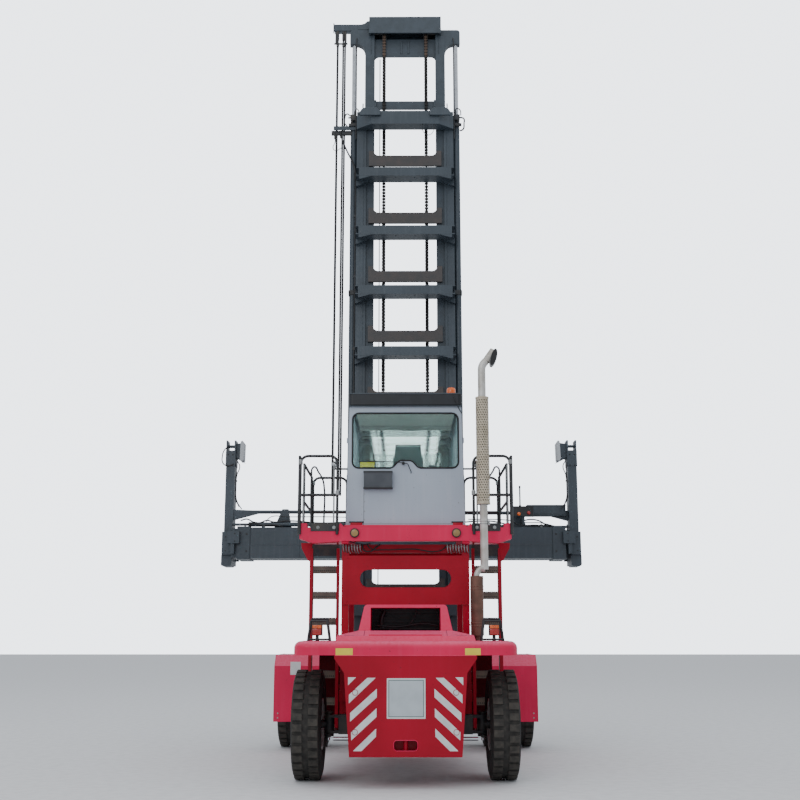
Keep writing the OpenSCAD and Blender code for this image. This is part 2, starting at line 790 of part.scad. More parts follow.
// Side openings of the cab: back, front, lower edge, upper edge
module side_windows() {
    for (y = [[cab_y + 110, door_y[0] - 70], [door_y[1] + 60, cab_front_y - 100]])
        soft_rect(y, [window_z[0] - 200, window_z[1]], 60);
}

module door_outline(inset) {
    soft_rect([door_y[0] + inset, door_y[1] - inset], [door_z[0] + inset, door_z[1] - inset], 50);
}

module door_window() {
    soft_rect([door_y[0] + 80, door_y[1] - 80], [door_z[0] + 480, door_z[1] - 70], 50);
}

module rear_window() {
    difference() {
        soft_rect([-770, 770], window_z, 90);
        // Hump over the wiper's motor
        polygon([[-220, window_z[0] - 1], [-90, window_z[0] + 110], [90, window_z[0] + 110],
                 [220, window_z[0] - 1]]);
    }
}

module front_window() {
    soft_rect([-750, 750], [platform_top + 380, window_z[1]], 90);
}

// Outer face of the cab's side wall at a height
function side_x(z) = cab_half - (cab_half - cab_top_half) * (z - platform_top) / cab_height;

// Hinge places up the rear edge of each door
hinge_z = [platform_top + 300, cab_top - 400];

// Leaf of a hinge from the wall's face out to the pin, the range along Y given
module hinge_leaf(y, z) {
    block([side_x(z[0]) - 12, hinge_x], y, z);
    rod_z(12, hinge_x, door_y[0], z);
}

module cab_shell() {
    color("#a4acb5") both_sides() for (z = hinge_z) {
        hinge_leaf([door_y[0] - 26, door_y[0] - 4], [z - 60, z - 20 - fit]);
        rod_z(6, hinge_x, door_y[0], [z - 60, z + 20]);
    }
    color("#a4acb5") difference() {
        union() {
            along_y([cab_y, cab_front_y]) difference() {
                cab_outline(0);
                cab_outline(cab_wall);
            }
            along_y([cab_y, cab_y + cab_wall]) cab_outline(0);
            along_y([cab_front_y - cab_wall, cab_front_y]) cab_outline(0);
        }
        along_y([cab_y - 1, cab_y + cab_wall + 1]) rear_window();
        along_y([cab_front_y - cab_wall - 1, cab_front_y + 1]) front_window();
        for (x = [[-cab_half - 10, 0], [0, cab_half + 10]]) along_x(x) {
            side_windows();
            door_outline(0);
        }
    }
}

// Pane in the middle of a side wall
module side_pane() {
    intersection() {
        along_y([cab_y + 1, cab_front_y - 1]) difference() {
            cab_outline(cab_wall / 2 - 4);
            cab_outline(cab_wall / 2 + 4);
        }
        children();
    }
}

module cab_glass() {
    mid = cab_wall / 2;
    color("#7d9a96", 0.5) {
        along_y([cab_y + mid - 4, cab_y + mid + 4]) rear_window();
        along_y([cab_front_y - mid - 4, cab_front_y - mid + 4]) front_window();
        for (x = [[-cab_half, -600], [600, cab_half]]) side_pane() along_x(x) side_windows();
    }
}

module cab_door(side) {
    color("#a4acb5") {
        intersection() {
            along_y([cab_y + 1, cab_front_y - 1]) difference() {
                cab_outline(0);
                cab_outline(cab_wall);
            }
            along_x(side > 0 ? [600, cab_half + 10] : [-cab_half - 10, -600]) difference() {
                door_outline(door_gap);
                door_window();
            }
        }
        mirror([side > 0 ? 0 : 1, 0, 0]) for (z = hinge_z) difference() {
            hinge_leaf([door_y[0] + door_gap, door_y[0] + 30], [z - 20, z + 20]);
            rod_z(6 + fit, hinge_x, door_y[0], [z - 21, z + 21]);
        }
    }
}

module cab_door_r() { cab_door(1); }
module cab_door_l() { cab_door(-1); }
module door_glass_r() {
    color("#7d9a96", 0.5) side_pane() along_x([600, cab_half]) door_window();
}
module door_glass_l() { mirror([1, 0, 0]) door_glass_r(); }

module cab_roof() {
    color("#1d1f22") {
        along_z([cab_top, cab_top + 170])
            soft_rect([-cab_top_half - 10, cab_top_half + 10], [cab_y - 40, cab_front_y + 60], 60);
    }
}

module seat() {
    floor_z = platform_top + cab_wall;
    y = cab_y + 480;
    color("#3a3d41") {
        block([-180, 180], [y + 60, y + 420], [floor_z, floor_z + 260]);
        along_z([floor_z + 260, floor_z + 400]) soft_rect([-250, 250], [y, y + 500], 70);
        along_y([y - 60, y + 60]) soft_rect([-230, 230], [floor_z + 400, floor_z + 1080], 80);
    }
}

module steering_column() {
    floor_z = platform_top + cab_wall;
    y = cab_front_y - 420;
    color("#2a2c2f") {
        block([-90, 90], [y, y + 160], [floor_z, floor_z + 560]);
        rod_z(24, 0, y + 60, [floor_z + 560, floor_z + 700]);
        translate([0, y + 60, floor_z + 700]) rotate_extrude() translate([180, 0]) circle(14);
        rod_x(12, [-175, 175], y + 60, floor_z + 700);
    }
}

module cab_rear_box() {
    color("#3f444b") block([-600, -190], [cab_y - 90, cab_y], [platform_top + 540, platform_top + 780]);
}

module cab_mirrors() {
    z = platform_top + 830;
    wall_x = side_x(z - 14) + fit;
    color("#17181a") both_sides() {
        rod_x(14, [wall_x, 1060], cab_y + 30, z);
        rod_y(50, 1020, [cab_y - 14, cab_y + 10], z + 70);
        rod_z(10, 1020, cab_y + 10, [z, z + 70]);
    }
}

module exhaust_pipe() {
    r = exhaust_d / 2;
    x = exhaust_x;
    y = exhaust_y;
    step = x[1] - x[0];
    tip = [x[1] + tip_bend * (1 - cos(tip_turn)), y, stack_z[1] + tip_bend * sin(tip_turn)];
    color("#7a5b4a") {
        rod_z(45, x[0], y, [deck_top, muffler_z[0]]);
        rod_z(90, x[0], y, muffler_z);
    }
    color("#c4c6c8") {
        // Offset bend up to the straight stack
        bend_xz([x[1], y, muffler_z[1]], step, 40, 90, 90);
        rod_z(r, x[1], y, stack_z);
        rod_x(r, [x[1] - r, x[1] + 1], y, stack_z[0] + 20);
        difference() {
            union() {
                bend_xz([x[1] + tip_bend, y, stack_z[1]], tip_bend, r, 180 - tip_turn, tip_turn);
                translate(tip) rotate([0, 90 - tip_turn, 0]) cylinder(r = r, h = 190);
            }
            translate(tip) rotate([0, 90 - tip_turn, 0]) translate([0, 0, 60])
                cylinder(r = r - 8, h = 200);
        }
    }
}

module exhaust_shield() {
    x = exhaust_x[1];
    y = exhaust_y;
    z = shield_z;
    color("#a39a88") {
        difference() {
            rod_z(92, x, y, z);
            rod_z(84, x, y, [z[0] - 1, z[1] + 1]);
        }
        for (u = [z[0] + 40, z[1] - 60]) difference() {
            rod_z(86, x, y, [u, u + 20]);
            rod_z(exhaust_d / 2, x, y, [u - 1, u + 21]);
        }
    }
}

module lamps() {
    color("#b3392a") both_sides() {
        block([1045, 1170], [tail_y + 260, tail_y + 360], [deck_top + 70, deck_top + 198]);
        block([1085, 1125], [tail_y + 290, tail_y + 330], [deck_top, deck_top + 71]);
    }
    // Round lamps on the platform's rear beam
    color("#b98a3c") both_sides() rod_y(65, 720, [platform_y - 40, platform_y], platform_top - 120);
    // Beacon on the roof
    color("#e2701d") {
        rod_z(40, 720, cab_y + 160, [cab_top + 170, cab_top + 200]);
        rod_z(56, 720, cab_y + 160, [cab_top + 200, cab_top + 300]);
    }
}

// Outer mast column: a channel open towards the middle
module outer_channel() {
    difference() {
        translate([outer_in_x, mast_y]) square([web_x[1] - outer_in_x, mast_depth]);
        translate([outer_in_x - 1, mast_y + flange_t])
            square([web_x[0] - outer_in_x + 1, mast_depth - 2 * flange_t]);
    }
}

// Cross beam behind the outer mast: a channel open forward, gusseted under its ends
module outer_beam(top) {
    low = top - beam_h;
    end = web_x[1] - 10;
    block([-beam_face, beam_face], [beam_y[0], beam_y[0] + beam_t], [low, top]);
    for (z = [low, top - beam_t]) block([-end, end], beam_y, [z, z + beam_t]);
    both_sides() {
        block([outer_in_x + 10, end], [beam_y[1] - 1, mast_y], [low, top]);
        along_y([beam_y[1] - 80, mast_y])
            polygon([[700, low + 1], [web_x[1], low + 1], [web_x[1], low - 100], [880, low - 90]]);
    }
}

module outer_mast() {
    color("#454d55") {
        both_sides() along_z([outer_bottom, mast_top]) outer_channel();
        for (i = [0:beam_count - 1]) outer_beam(first_beam_z - i * beam_pitch);
        // Lips that narrow the channels' rear slots
        both_sides() block([lip_x, outer_in_x + 5], [mast_y, mast_y + 32], [outer_bottom, mast_top]);
        // Top beam, chamfered in plan
        along_z(top_beam_z) polygon([
            [-web_x[1], mast_y], [-web_x[1], mast_y - 60], [-640, mast_y - 290], [640, mast_y - 290],
            [web_x[1], mast_y - 60], [web_x[1], mast_y], [outer_in_x + 10, mast_y],
            [outer_in_x + 10, beam_y[1]], [-outer_in_x - 10, beam_y[1]], [-outer_in_x - 10, mast_y]
        ]);
        // Foot beam and its lugs on the frame's pivot pins
        along_y([pivot_y + nose_r + pivot_plate_gap, foot_beam_y[1]])
            translate([-web_x[1], 400]) square([2 * web_x[1], 500]);
        both_sides() {
            block([outer_in_x + 10, web_x[1]], [foot_beam_y[1], mast_y], [400, 900]);
            for (x = [frame_half - frame_t - 5 - 40, frame_half + gap]) along_x([x, x + 40])
                difference() {
                    union() {
                        translate([pivot_y, pivot_z]) circle(nose_r);
                        translate([pivot_y, pivot_z - nose_r])
                            square([nose_r + pivot_plate_gap + 1, 2 * nose_r]);
                    }
                    translate([pivot_y, pivot_z]) circle(pivot_r + fit);
                }
            // Lugs and pin of the tilt cylinder's rod
            for (x = [tilt_x - tilt_eye_w / 2 - 35, tilt_x + tilt_eye_w / 2 + gap])
                along_x([x, x + 30]) {
                    translate([tilt_eye_y, tilt_eye_z]) circle(70);
                    translate([tilt_eye_y, tilt_eye_z - 70])
                        square([foot_beam_y[0] - tilt_eye_y + 1, 140]);
                }
            rod_x(tilt_pin_r - 3, [tilt_x - 66, tilt_x + 66], tilt_eye_y, tilt_eye_z);
        }
        block([-web_x[1], web_x[1]], foot_beam_y, [tilt_eye_z - 150, tilt_eye_z + 150]);
        both_sides() block([outer_in_x + 10, web_x[1]], [foot_beam_y[1], mast_y],
                           [tilt_eye_z - 150, tilt_eye_z + 150]);
        // Feet under the lift cylinders
        both_sides() block([web_x[0], lift_x + lift_barrel_d / 2], [lift_y - 80, lift_y + 80], [420, 500]);
        // Head rollers in the inner columns' outer channels, and the hose bracket on the left
        both_sides() {
            rod_x(45, [inner_x[1] - 6, web_x[0] + 1], mast_y + mast_depth / 2, mast_top - 300);
            rod_x((inner_y[1] - inner_y[0]) / 2 - inner_flange_t - fit,
                  [inner_web_x[1] + gap, inner_x[1] - 5], mast_y + mast_depth / 2, mast_top - 300);
        }
        block([-1380, -web_x[0]], [mast_y + 30, mast_y + 46], [mast_top - 360, mast_top - 280]);
    }
}

module lift_barrels() {
    color("#3c434b") both_sides() difference() {
        rod_z(lift_barrel_d / 2, lift_x, lift_y, [500, lift_top]);
        rod_z(lift_rod_d / 2 + fit, lift_x, lift_y, [560, lift_top + 1]);
    }
}

module lift_rods() {
    color("#d3d6d9") both_sides()
        rod_z(lift_rod_d / 2, lift_x, lift_y, [lift_top - upper_limit - 300, wing_z[0]]);
}

// A tilt cylinder lies along local X from its foot's eye; placed in the YZ plane
module along_tilt() {
    both_sides() translate([tilt_x, tilt_foot_y, tilt_foot_z]) rotate([tilt_angle, 0, 0]) children();
}

module tilt_barrels() {
    color("#3c434b") along_tilt() {
        difference() {
            union() {
                rod_x(68, [-tilt_eye_w / 2, tilt_eye_w / 2], 0, 0);
                block([-tilt_eye_w / 2, tilt_eye_w / 2], [0, 130], [-50, 50]);
                rod_y(tilt_d / 2, 0, [110, 1180], 0);
                rod_y(tilt_d / 2 + 12, 0, [1180, 1250], 0);
            }
            rod_x(tilt_pin_r + fit, [-100, 100], 0, 0);
            rod_y(tilt_rod_d / 2 + fit, 0, [180, 1251], 0);
        }
    }
}

module tilt_rods() {
    color("#d3d6d9") along_tilt() difference() {
        union() {
            rod_y(tilt_rod_d / 2, 0, [500, tilt_length - 85], 0);
            block([-tilt_eye_w / 2, tilt_eye_w / 2], [tilt_length - 100, tilt_length], [-45, 45]);
            rod_x(66, [-tilt_eye_w / 2, tilt_eye_w / 2], tilt_length, 0);
        }
        rod_x(tilt_pin_r + 1, [-100, 100], tilt_length, 0);
    }
}

// Inner mast column: a rolled section with flanges both ways
module inner_section() {
    translate([inner_web_x[0], inner_y[0]]) square([inner_web_x[1] - inner_web_x[0],
                                                    inner_y[1] - inner_y[0]]);
    for (y = [inner_y[0], inner_y[1] - inner_flange_t])
        translate([inner_x[0], y]) square([inner_x[1] - inner_x[0], inner_flange_t]);
}

module both_sides_flat() {
    children();
    mirror([1, 0]) children();
}

// Concave fillet against an upright edge, above (1) or below (-1) a height, out to a half width
module corner_fillet(x, z, side, out) {
    difference() {
        translate([x - bar_fillet, side > 0 ? z - 1 : z - bar_fillet])
            square([out - x + bar_fillet, bar_fillet + 1]);
        translate([x - bar_fillet, z + side * bar_fillet]) circle(bar_fillet);
    }
}

// Rear view of a wing: rounded outer corner, curved gusset below
module wing_outline() {
    translate([700, wing_z[0]]) square([wing_x - 760, wing_z[1] - wing_z[0]]);
    translate([wing_x - 61, wing_z[0]]) square([61, wing_z[1] - wing_z[0] - 60]);
    translate([wing_x - 60, wing_z[1] - 60]) circle(60);
    difference() {
        translate([700, wing_z[0] - 160]) square([250, 161]);
        translate([950, wing_z[0] - 160]) circle(160);
    }
}

module inner_mast() {
    box_x = head_box_x;
    box_y = [inner_y[0] - 110, inner_y[1] + 45];
    box_z = [inner_top - 350, inner_top];
    color("#454d55") {
        both_sides() along_z([inner_bottom, box_z[0]]) inner_section();
        // Sheave box, open below
        difference() {
            block([-box_x, box_x], box_y, box_z);
            block([-box_x + 30, box_x - 30], [box_y[0] + 25, box_y[1] - 25],
                  [box_z[0] - 1, box_z[1] - 25]);
        }
        both_sides() block([inner_x[0], box_x], inner_y, [box_z[0] - 1, box_z[0] + 60]);
        // Head plate between the columns, its window's corners rounded
        along_y(head_y) {
            translate([-inner_web_x[0] - 1, inner_top - 770]) square([2 * inner_web_x[0] + 2, 380]);
            both_sides_flat() corner_fillet(inner_x[0], inner_top - 770, -1, inner_web_x[0] + 1);
        }
        both_sides() {
            // Wing over the lift cylinder, on a curved gusset
            along_y([lift_y - 70, lift_y + 70]) wing_outline();
            // Stub of the foot roller
            rod_x(45, [inner_web_x[0], outer_in_x + 85], mast_y + mast_depth / 2, inner_bottom + 150);
            // Bracket of the high bar
            block([560, inner_x[0] + 1], [inner_y[0] + 5, head_y[1]], [high_bar_z - 170, high_bar_z]);
        }
        // Hose arm on the left, flared into the box
        along_y([lift_y - 40, lift_y - 24]) {
            translate([-1385, inner_top - 280]) square([1385 - box_x + 1, 80]);
            difference() {
                translate([-box_x - 140, inner_top - 201]) square([141, 141]);
                translate([-box_x - 140, inner_top - 60]) circle(140);
            }
        }
    }
    color("#5b5a5c") {
        block([-561, 561], [head_y[1] - 34, head_y[1]], [high_bar_z - 170, high_bar_z]);
        for (i = [0:bar_count - 1]) let (z = first_bar_z - i * bar_pitch) along_y(bar_y) {
            translate([-bar_half, z - bar_h]) square([2 * bar_half, bar_h]);
            both_sides_flat() corner_fillet(inner_x[0], z, 1, bar_half);
        }
    }
}

module mast_sheaves() {
    mid = mast_y + mast_depth / 2;
    color("#3a3d41") both_sides() {
        // Chain sheave and its shaft in the box
        difference() {
            rod_x(sheave_d / 2 + 30, [chain_x - 42, chain_x + 42], sheave_y, sheave_z);
            difference() {
                rod_x(sheave_d / 2 + 40, [chain_x - chain_w / 2 - 2, chain_x + chain_w / 2 + 2],
                      sheave_y, sheave_z);
                rod_x(sheave_d / 2 - chain_t / 2, [chain_x - 50, chain_x + 50], sheave_y, sheave_z);
            }
        }
        rod_x(35, [chain_x + 42, head_box_x - 30], sheave_y, sheave_z);
        // Foot roller in the outer channel
        difference() {
            rod_x(mast_depth / 2 - flange_t - fit, [outer_in_x + 15, web_x[0] - 10], mid,
                  inner_bottom + 150);
            rod_x(45 + fit, [outer_in_x, web_x[0]], mid, inner_bottom + 150);
        }
    }
}

module lift_chains() {
    back_low = mast_top - upper_limit - 60;
    front_low = carriage_z[1] - 100 - inner_raised;
    color("#2b2a29") both_sides() {
        x = [chain_x - chain_w / 2, chain_x + chain_w / 2];
        block(x, [chain_back_y - chain_t / 2, chain_back_y + chain_t / 2], [back_low, sheave_z]);
        block(x, [chain_front_y - chain_t / 2, chain_front_y + chain_t / 2], [front_low, sheave_z]);
        difference() {
            rod_x((sheave_d + chain_t) / 2, x, sheave_y, sheave_z);
            rod_x((sheave_d - chain_t) / 2 + fit, [x[0] - 1, x[1] + 1], sheave_y, sheave_z);
            block([x[0] - 1, x[1] + 1], [sheave_y - 300, sheave_y + 300], [sheave_z - 300, sheave_z]);
        }
    }
}

module mast_hoses() {
    color("#17181a") for (x = [-1355, -1290, -1235])
        rod_z(16, x, lift_y - 32, [leg_bottom + 1200, inner_top - 280]);
}

module carriage() {
    mid = mast_y + mast_depth / 2;
    color("#454d55") {
        both_sides() {
            // Side plate with its two rollers in the inner mast's channel
            block([520, 555], [inner_y[0] + 100, carriage_y[1]], carriage_z);
            for (z = [carriage_z[0] + 200, carriage_z[1] - 200]) {
                rod_x(40, [554, inner_x[0] + gap + 1], mid, z);
                rod_x((inner_y[1] - inner_y[0]) / 2 - inner_flange_t - fit,
                      [inner_x[0] + gap, inner_web_x[0] - gap], mid, z);
            }
            // Carriers of the guide shafts
            for (z = guide_z) along_x([guide_x, guide_x + 40]) difference() {
                union() {
                    translate([guide_y, z]) circle(90);
                    translate([carriage_y[1] - 1, z - 90]) square([guide_y - carriage_y[1] + 1, 180]);
                }
            }
            block([chain_x - 40, chain_x + 40], [chain_front_y + chain_t / 2 + gap, carriage_y[0] + 1],
                  [carriage_z[1] - 160, carriage_z[1] - 60]);
        }
        for (z = guide_z) block([-guide_x - 40, guide_x + 40], carriage_y, [z - 110, z + 110]);
        block([-555, 555], carriage_y, [carriage_z[1] - 200, carriage_z[1]]);
        for (z = guide_z) rod_x(guide_r, [-guide_x - 20, guide_x + 20], guide_y, z);
    }
}

// Main beam and what hangs on it, drawn about the spreader's own middle
module at_spreader() {
    translate([-shift_at_rest, 0, 0]) children();
}

module spreader_beam() {
    x = [-spreader_half, spreader_half];
    y = [spreader_y, spreader_front_y];
    z = [spreader_bottom, spreader_top];
    color("#454d55") at_spreader() {
        difference() {
            union() {
                block(x, y, z);
                // End collars
                for (u = [x[0] - 5, x[1] - 235])
                    block([u, u + 240], [y[0] - 18, y[1] + 18], [z[0] - 18, z[1] + 18]);
            }
            for (v = [y[0], y[0] + channel_depth])
                block([x[0] - 10, x[1] + 10], [v + beam_wall, v + channel_depth - beam_wall],
                      [z[0] + beam_wall, z[1] - beam_wall]);
        }
        // Wear pads in the mouth of each channel
        for (c = [[x[0] + 10, 0], [x[1] - 200, channel_depth]])
            let (v = [y[0] + c[1] + beam_wall, y[0] + c[1] + channel_depth - beam_wall], s = slide_gap - fit)
            difference() {
                block([c[0], c[0] + 190], [v[0] - 1, v[1] + 1], [z[0] + beam_wall - 1, z[1] - beam_wall + 1]);
                block([c[0] - 1, c[0] + 191], [v[0] + s, v[1] - s],
                      [z[0] + beam_wall + s, z[1] - beam_wall - s]);
            }
        // Hangers on the guide shafts
        for (u = [-260, 180], zz = guide_z) along_x([u, u + 80]) difference() {
            union() {
                translate([guide_y, zz]) circle(guide_r + 40);
                translate([guide_y, zz - 70]) square([y[0] - guide_y + 8, 140]);
            }
            translate([guide_y, zz]) circle(guide_r + fit);
        }
        for (u = [-260, 180]) block([u, u + 80], [y[0], y[0] + 30], [z[1] - 1, guide_z[1] + 70]);
        // Stays of the upper guide tubes
        both_tubes() difference() {
            along_y([-60, 60]) polygon([[stay_x[0] - 65, z[1] - 1], [stay_x[1] + 155, z[1] - 1],
                [stay_x[1], tube_z + 50], [stay_x[0], tube_z + 50]]);
            rod_x(tube_r + fit, [stay_x[0] - 100, stay_x[1] + 200], 0, tube_z);
        }
        // Lamp box and its mast on the right
        block([2110, 2490], [y[0] + 20, y[0] + 140], [z[1] + 205, z[1] + 390]);
        block([2280, 2320], [y[0] + 60, y[0] + 100], [z[1] - 1, z[1] + 206]);
        rod_z(14, 2240, y[0] + 80, [z[1] + 389, z[1] + 750]);
    }
}

// The left arm runs in the rear channel, the right arm in the front one
tube_y = [spreader_y + 230, spreader_front_y - 230];
ram_y = [spreader_y + 80, spreader_front_y - 80];

module both_tubes() {
    mirror([1, 0, 0]) translate([0, tube_y[0], 0]) children();
    translate([0, tube_y[1], 0]) children();
}

module spreader_barrels() {
    color("#3c434b") at_spreader() {
        for (side = [-1, 1]) {
            y = side < 0 ? ram_y[0] : ram_y[1];
            x = side < 0 ? [-spreader_half + 250, 800] : [-800, spreader_half - 250];
            difference() {
                rod_x(ram_r, x, y, ram_z);
                rod_x(ram_rod_r + fit, [x[0] - (side < 0 ? 1 : -40), x[1] + (side < 0 ? -40 : 1)], y,
                      ram_z);
            }
            for (u = [x[0] + 200, x[1] - 240]) difference() {
                block([u, u + 40], [y - 55, y + 55], [spreader_top, ram_z]);
                rod_x(ram_r, [u - 1, u + 41], y, ram_z);
            }
        }
    }
}

// Right arm with its leg, drawn about the spreader's middle; y is its channel's middle
module arm(y, ty, ry) {
    inner = spreader_half - arm_travel - 500;
    head_x = arms_half - leg_w;
    depth = channel_depth / 2 - beam_wall - slide_gap;
    z = [spreader_bottom + beam_wall + slide_gap, spreader_top - beam_wall - slide_gap];
    leg_top = leg_bottom + leg_height;
    latch_y = spreader_y - 24;
    latch_z = [spreader_top - 305, spreader_top - 80];
    color("#454d55") {
        difference() {
            block([inner, head_x + 1], [y - depth, y + depth], z);
            block([inner - 1, head_x - 40], [y - depth + 12, y + depth - 12], [z[0] + 12, z[1] - 12]);
        }
        // Head block, rounded hook box and leg
        block([head_x, arms_half], [spreader_y + 20, spreader_front_y - 20],
              [leg_bottom + 210, spreader_top - 80]);
        along_y([spreader_mid_y - 230, spreader_mid_y + 230])
            soft_rect([head_x, arms_half + 15], [leg_bottom, leg_bottom + 230], 40);
        block([head_x, arms_half - 10], leg_y, [leg_bottom + 200, leg_top - 500]);
        block([head_x - 8, arms_half], [leg_y[0] - 8, leg_y[1] + 8], [leg_top - 501, leg_top - 200]);
        // Forked top of the leg
        for (x = [head_x - 8, arms_half - 30])
            block([x, x + 30], [leg_y[0] + 20, leg_y[1] - 20], [leg_top - 201, leg_top]);
        block([head_x - 40, head_x - 7], [spreader_mid_y + 100, leg_y[1] - 20], [leg_top - 280, leg_top - 60]);
        rod_x(30, [head_x + 1, arms_half - 10], spreader_mid_y, leg_top - 100);
        // Latch boxes beside the beam's collar
        block([head_x, head_x + 60], [latch_y - 86, spreader_y + 21], latch_z);
        block([head_x - 165, head_x + 1], [latch_y - 86, latch_y], latch_z);
        block([head_x - 70, head_x + 1], [latch_y - 60, latch_y], [latch_z[0] - 190, latch_z[0] + 1]);
        block([head_x, head_x + 70], [spreader_mid_y + 229, spreader_front_y + 60],
              [leg_bottom + 30, leg_bottom + 230]);
        rod_x(24, [head_x - 60, head_x + 1], spreader_front_y + 10, leg_bottom + 140);
        // Upper guide tube on its tapered bracket
        rod_x(tube_r, [stay_x[0] - arm_travel - 60, head_x + 1], ty, tube_z);
        along_y([ty - 40, ty + 40]) polygon([[head_x + 1, tube_z + 45], [head_x + 1, tube_z - 155],
            [head_x - 470, tube_z - 30], [head_x - 470, tube_z + 25]]);
        // Telescoping rod and its lug
        rod_x(ram_rod_r, [-700, head_x + 1], ry, ram_z);
        block([head_x, head_x + 60], [ry - 45, ry + 45], [spreader_top - 81, ram_z + 45]);
    }
}

module arm_r() {
    at_spreader() arm(spreader_y + 1.5 * channel_depth, tube_y[1], ram_y[1]);
    // Cable housing on the right arm's guide tube
    color("#454d55") at_spreader() block([2400, 3130], [tube_y[1] - 100, tube_y[1] + 50],
                                         [tube_z - 70, tube_z + 137]);
}

module arm_l() {
    at_spreader() mirror([1, 0, 0]) arm(spreader_y + 0.5 * channel_depth, tube_y[0], ram_y[0]);
}

chassis_frame();
counterweight();
tow_pin();
rear_deck();
engine_hood();
hood_grille();
engine_block();
drive_axle();
steer_axle();
prop_shaft();
front_fenders();
side_tanks();
ladders();
cab_support();
cab_platform();
handrails();
cab_shell();
cab_roof();
cab_glass();
seat();
steering_column();
cab_rear_box();
cab_mirrors();
exhaust_pipe();
exhaust_shield();
lamps();
cab_door_l();
cab_door_r();
door_glass_l();
door_glass_r();
drive_tyres_l();
drive_tyres_r();
drive_rims_l();
drive_rims_r();
knuckle_l();
knuckle_r();
steer_tyre_l();
steer_tyre_r();
steer_rim_l();
steer_rim_r();
steer_rod();
outer_mast();
lift_barrels();
tilt_barrels();
tilt_rods();
inner_mast();
lift_rods();
mast_sheaves();
lift_chains();
mast_hoses();
carriage();
spreader_beam();
spreader_barrels();
arm_l();
arm_r();
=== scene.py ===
"""Looks of an empty container handler: a mast truck seen from behind, with its telescopic spreader."""

import math

import bpy
from mathutils import Matrix, Vector


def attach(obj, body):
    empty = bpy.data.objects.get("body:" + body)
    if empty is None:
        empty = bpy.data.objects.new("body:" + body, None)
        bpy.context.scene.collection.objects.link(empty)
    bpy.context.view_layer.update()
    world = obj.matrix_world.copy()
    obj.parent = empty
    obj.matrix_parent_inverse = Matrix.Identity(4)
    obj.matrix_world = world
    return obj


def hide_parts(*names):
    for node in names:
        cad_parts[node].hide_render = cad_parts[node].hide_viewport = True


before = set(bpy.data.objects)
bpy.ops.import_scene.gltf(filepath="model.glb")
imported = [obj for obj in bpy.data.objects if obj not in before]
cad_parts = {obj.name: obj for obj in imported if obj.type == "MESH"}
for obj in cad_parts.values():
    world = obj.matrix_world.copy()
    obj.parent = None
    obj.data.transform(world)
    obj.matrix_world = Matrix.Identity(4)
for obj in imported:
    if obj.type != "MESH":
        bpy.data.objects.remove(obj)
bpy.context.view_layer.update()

# Places that the pieces share with the CAD model, in metres
TAIL_Y = -3.85
STEER_Y = -2.85
DRIVE_Y = 1.65
HUB_Z = 0.6825
DECK_TOP = 1.73
HOOD_TOP = 2.19
PLATFORM_Y = -1.95
CAB_Y = -1.75
CAB_FRONT_Y = 0.15
EXHAUST_Y = -2.25
PIPE_X = 1.09
SHIELD_R = 0.093
SHIELD_Z = (3.59, 5.12)
BEAM_TOPS = [10.435 - 1.16 * i for i in range(7)]
LIFT_X = 0.994
LIFT_Y = 2.32
CHAIN_X = 0.41
CHAIN_BACK_Y = 2.262
CHAIN_FRONT_Y = 2.534
CHAIN_PITCH = 0.063
SHEAVE_Z = 13.52
HOSE_Y = 2.288
RAM_Z = 3.855
# Ways that bolt heads stand out of a face
BACK, FORE, OUT, UP, DOWN = (0, -1, 0), (0, 1, 0), (1, 0, 0), (0, 0, 1), (0, 0, -1)

# Camera, at the photographer's eye height behind the machine, tilted up
camera_data = bpy.data.cameras.new("camera")
camera_data.sensor_width = 36
camera_data.lens = 50.4
camera_data.clip_end = 200
camera = bpy.data.objects.new("camera", camera_data)
bpy.context.scene.collection.objects.link(camera)
camera.location = (0, -17.85, 1.766)
camera.rotation_euler = (math.radians(102), 0, math.radians(0.28))
bpy.context.scene.camera = camera


def sheet_colour(code):
    """Linear RGBA of an sRGB hex colour."""
    parts = [int(code[i : i + 2], 16) / 255 for i in (1, 3, 5)]
    return (*[p / 12.92 if p <= 0.04045 else ((p + 0.055) / 1.055) ** 2.4 for p in parts], 1)


def add(tree, kind, settings=None, inputs=None, out=0):
    """Adds a node with its settings; an input is a value or the socket that feeds it. Gives one output."""
    made = tree.nodes.new(kind)
    for name, value in (settings or {}).items():
        setattr(made, name, value)
    for key, value in (inputs or {}).items():
        if isinstance(value, bpy.types.NodeSocket):
            tree.links.new(value, made.inputs[key])
        else:
            made.inputs[key].default_value = value
    return made.outputs[out]


def noise(tree, place, scale, detail):
    """Cloudy noise; one over its scale is about the size of a patch in metres."""
    return add(tree, "ShaderNodeTexNoise", None, {"Vector": place, "Scale": scale, "Detail": detail})


def ramp(tree, value, low, high, start=0, end=1):
    """Maps a value's range onto another, held at its ends."""
    return add(tree, "ShaderNodeMapRange", None, {
        "Value": value, "From Min": low, "From Max": high, "To Min": start, "To Max": end})


def blend(tree, share, first, second):
    """Mixes two colours, each a hex code or a socket."""
    first, second = (sheet_colour(tone) if isinstance(tone, str) else tone for tone in (first, second))
    return add(tree, "ShaderNodeMix", {"data_type": "RGBA"}, {0: share, 6: first, 7: second}, out=2)


def calc(tree, operation, *values):
    """One step of arithmetic on values or sockets."""
    return add(tree, "ShaderNodeMath", {"operation": operation}, dict(enumerate(values)))


def surface(name, values):
    """A Principled material with the given constants; gives also its tree and object coordinates."""
    material = bpy.data.materials.new(name)
    material.use_nodes = True
    tree = material.node_tree
    for key, value in values.items():
        tree.nodes["Principled BSDF"].inputs[key].default_value = value
    return material, tree, add(tree, "ShaderNodeTexCoord", out="Object")


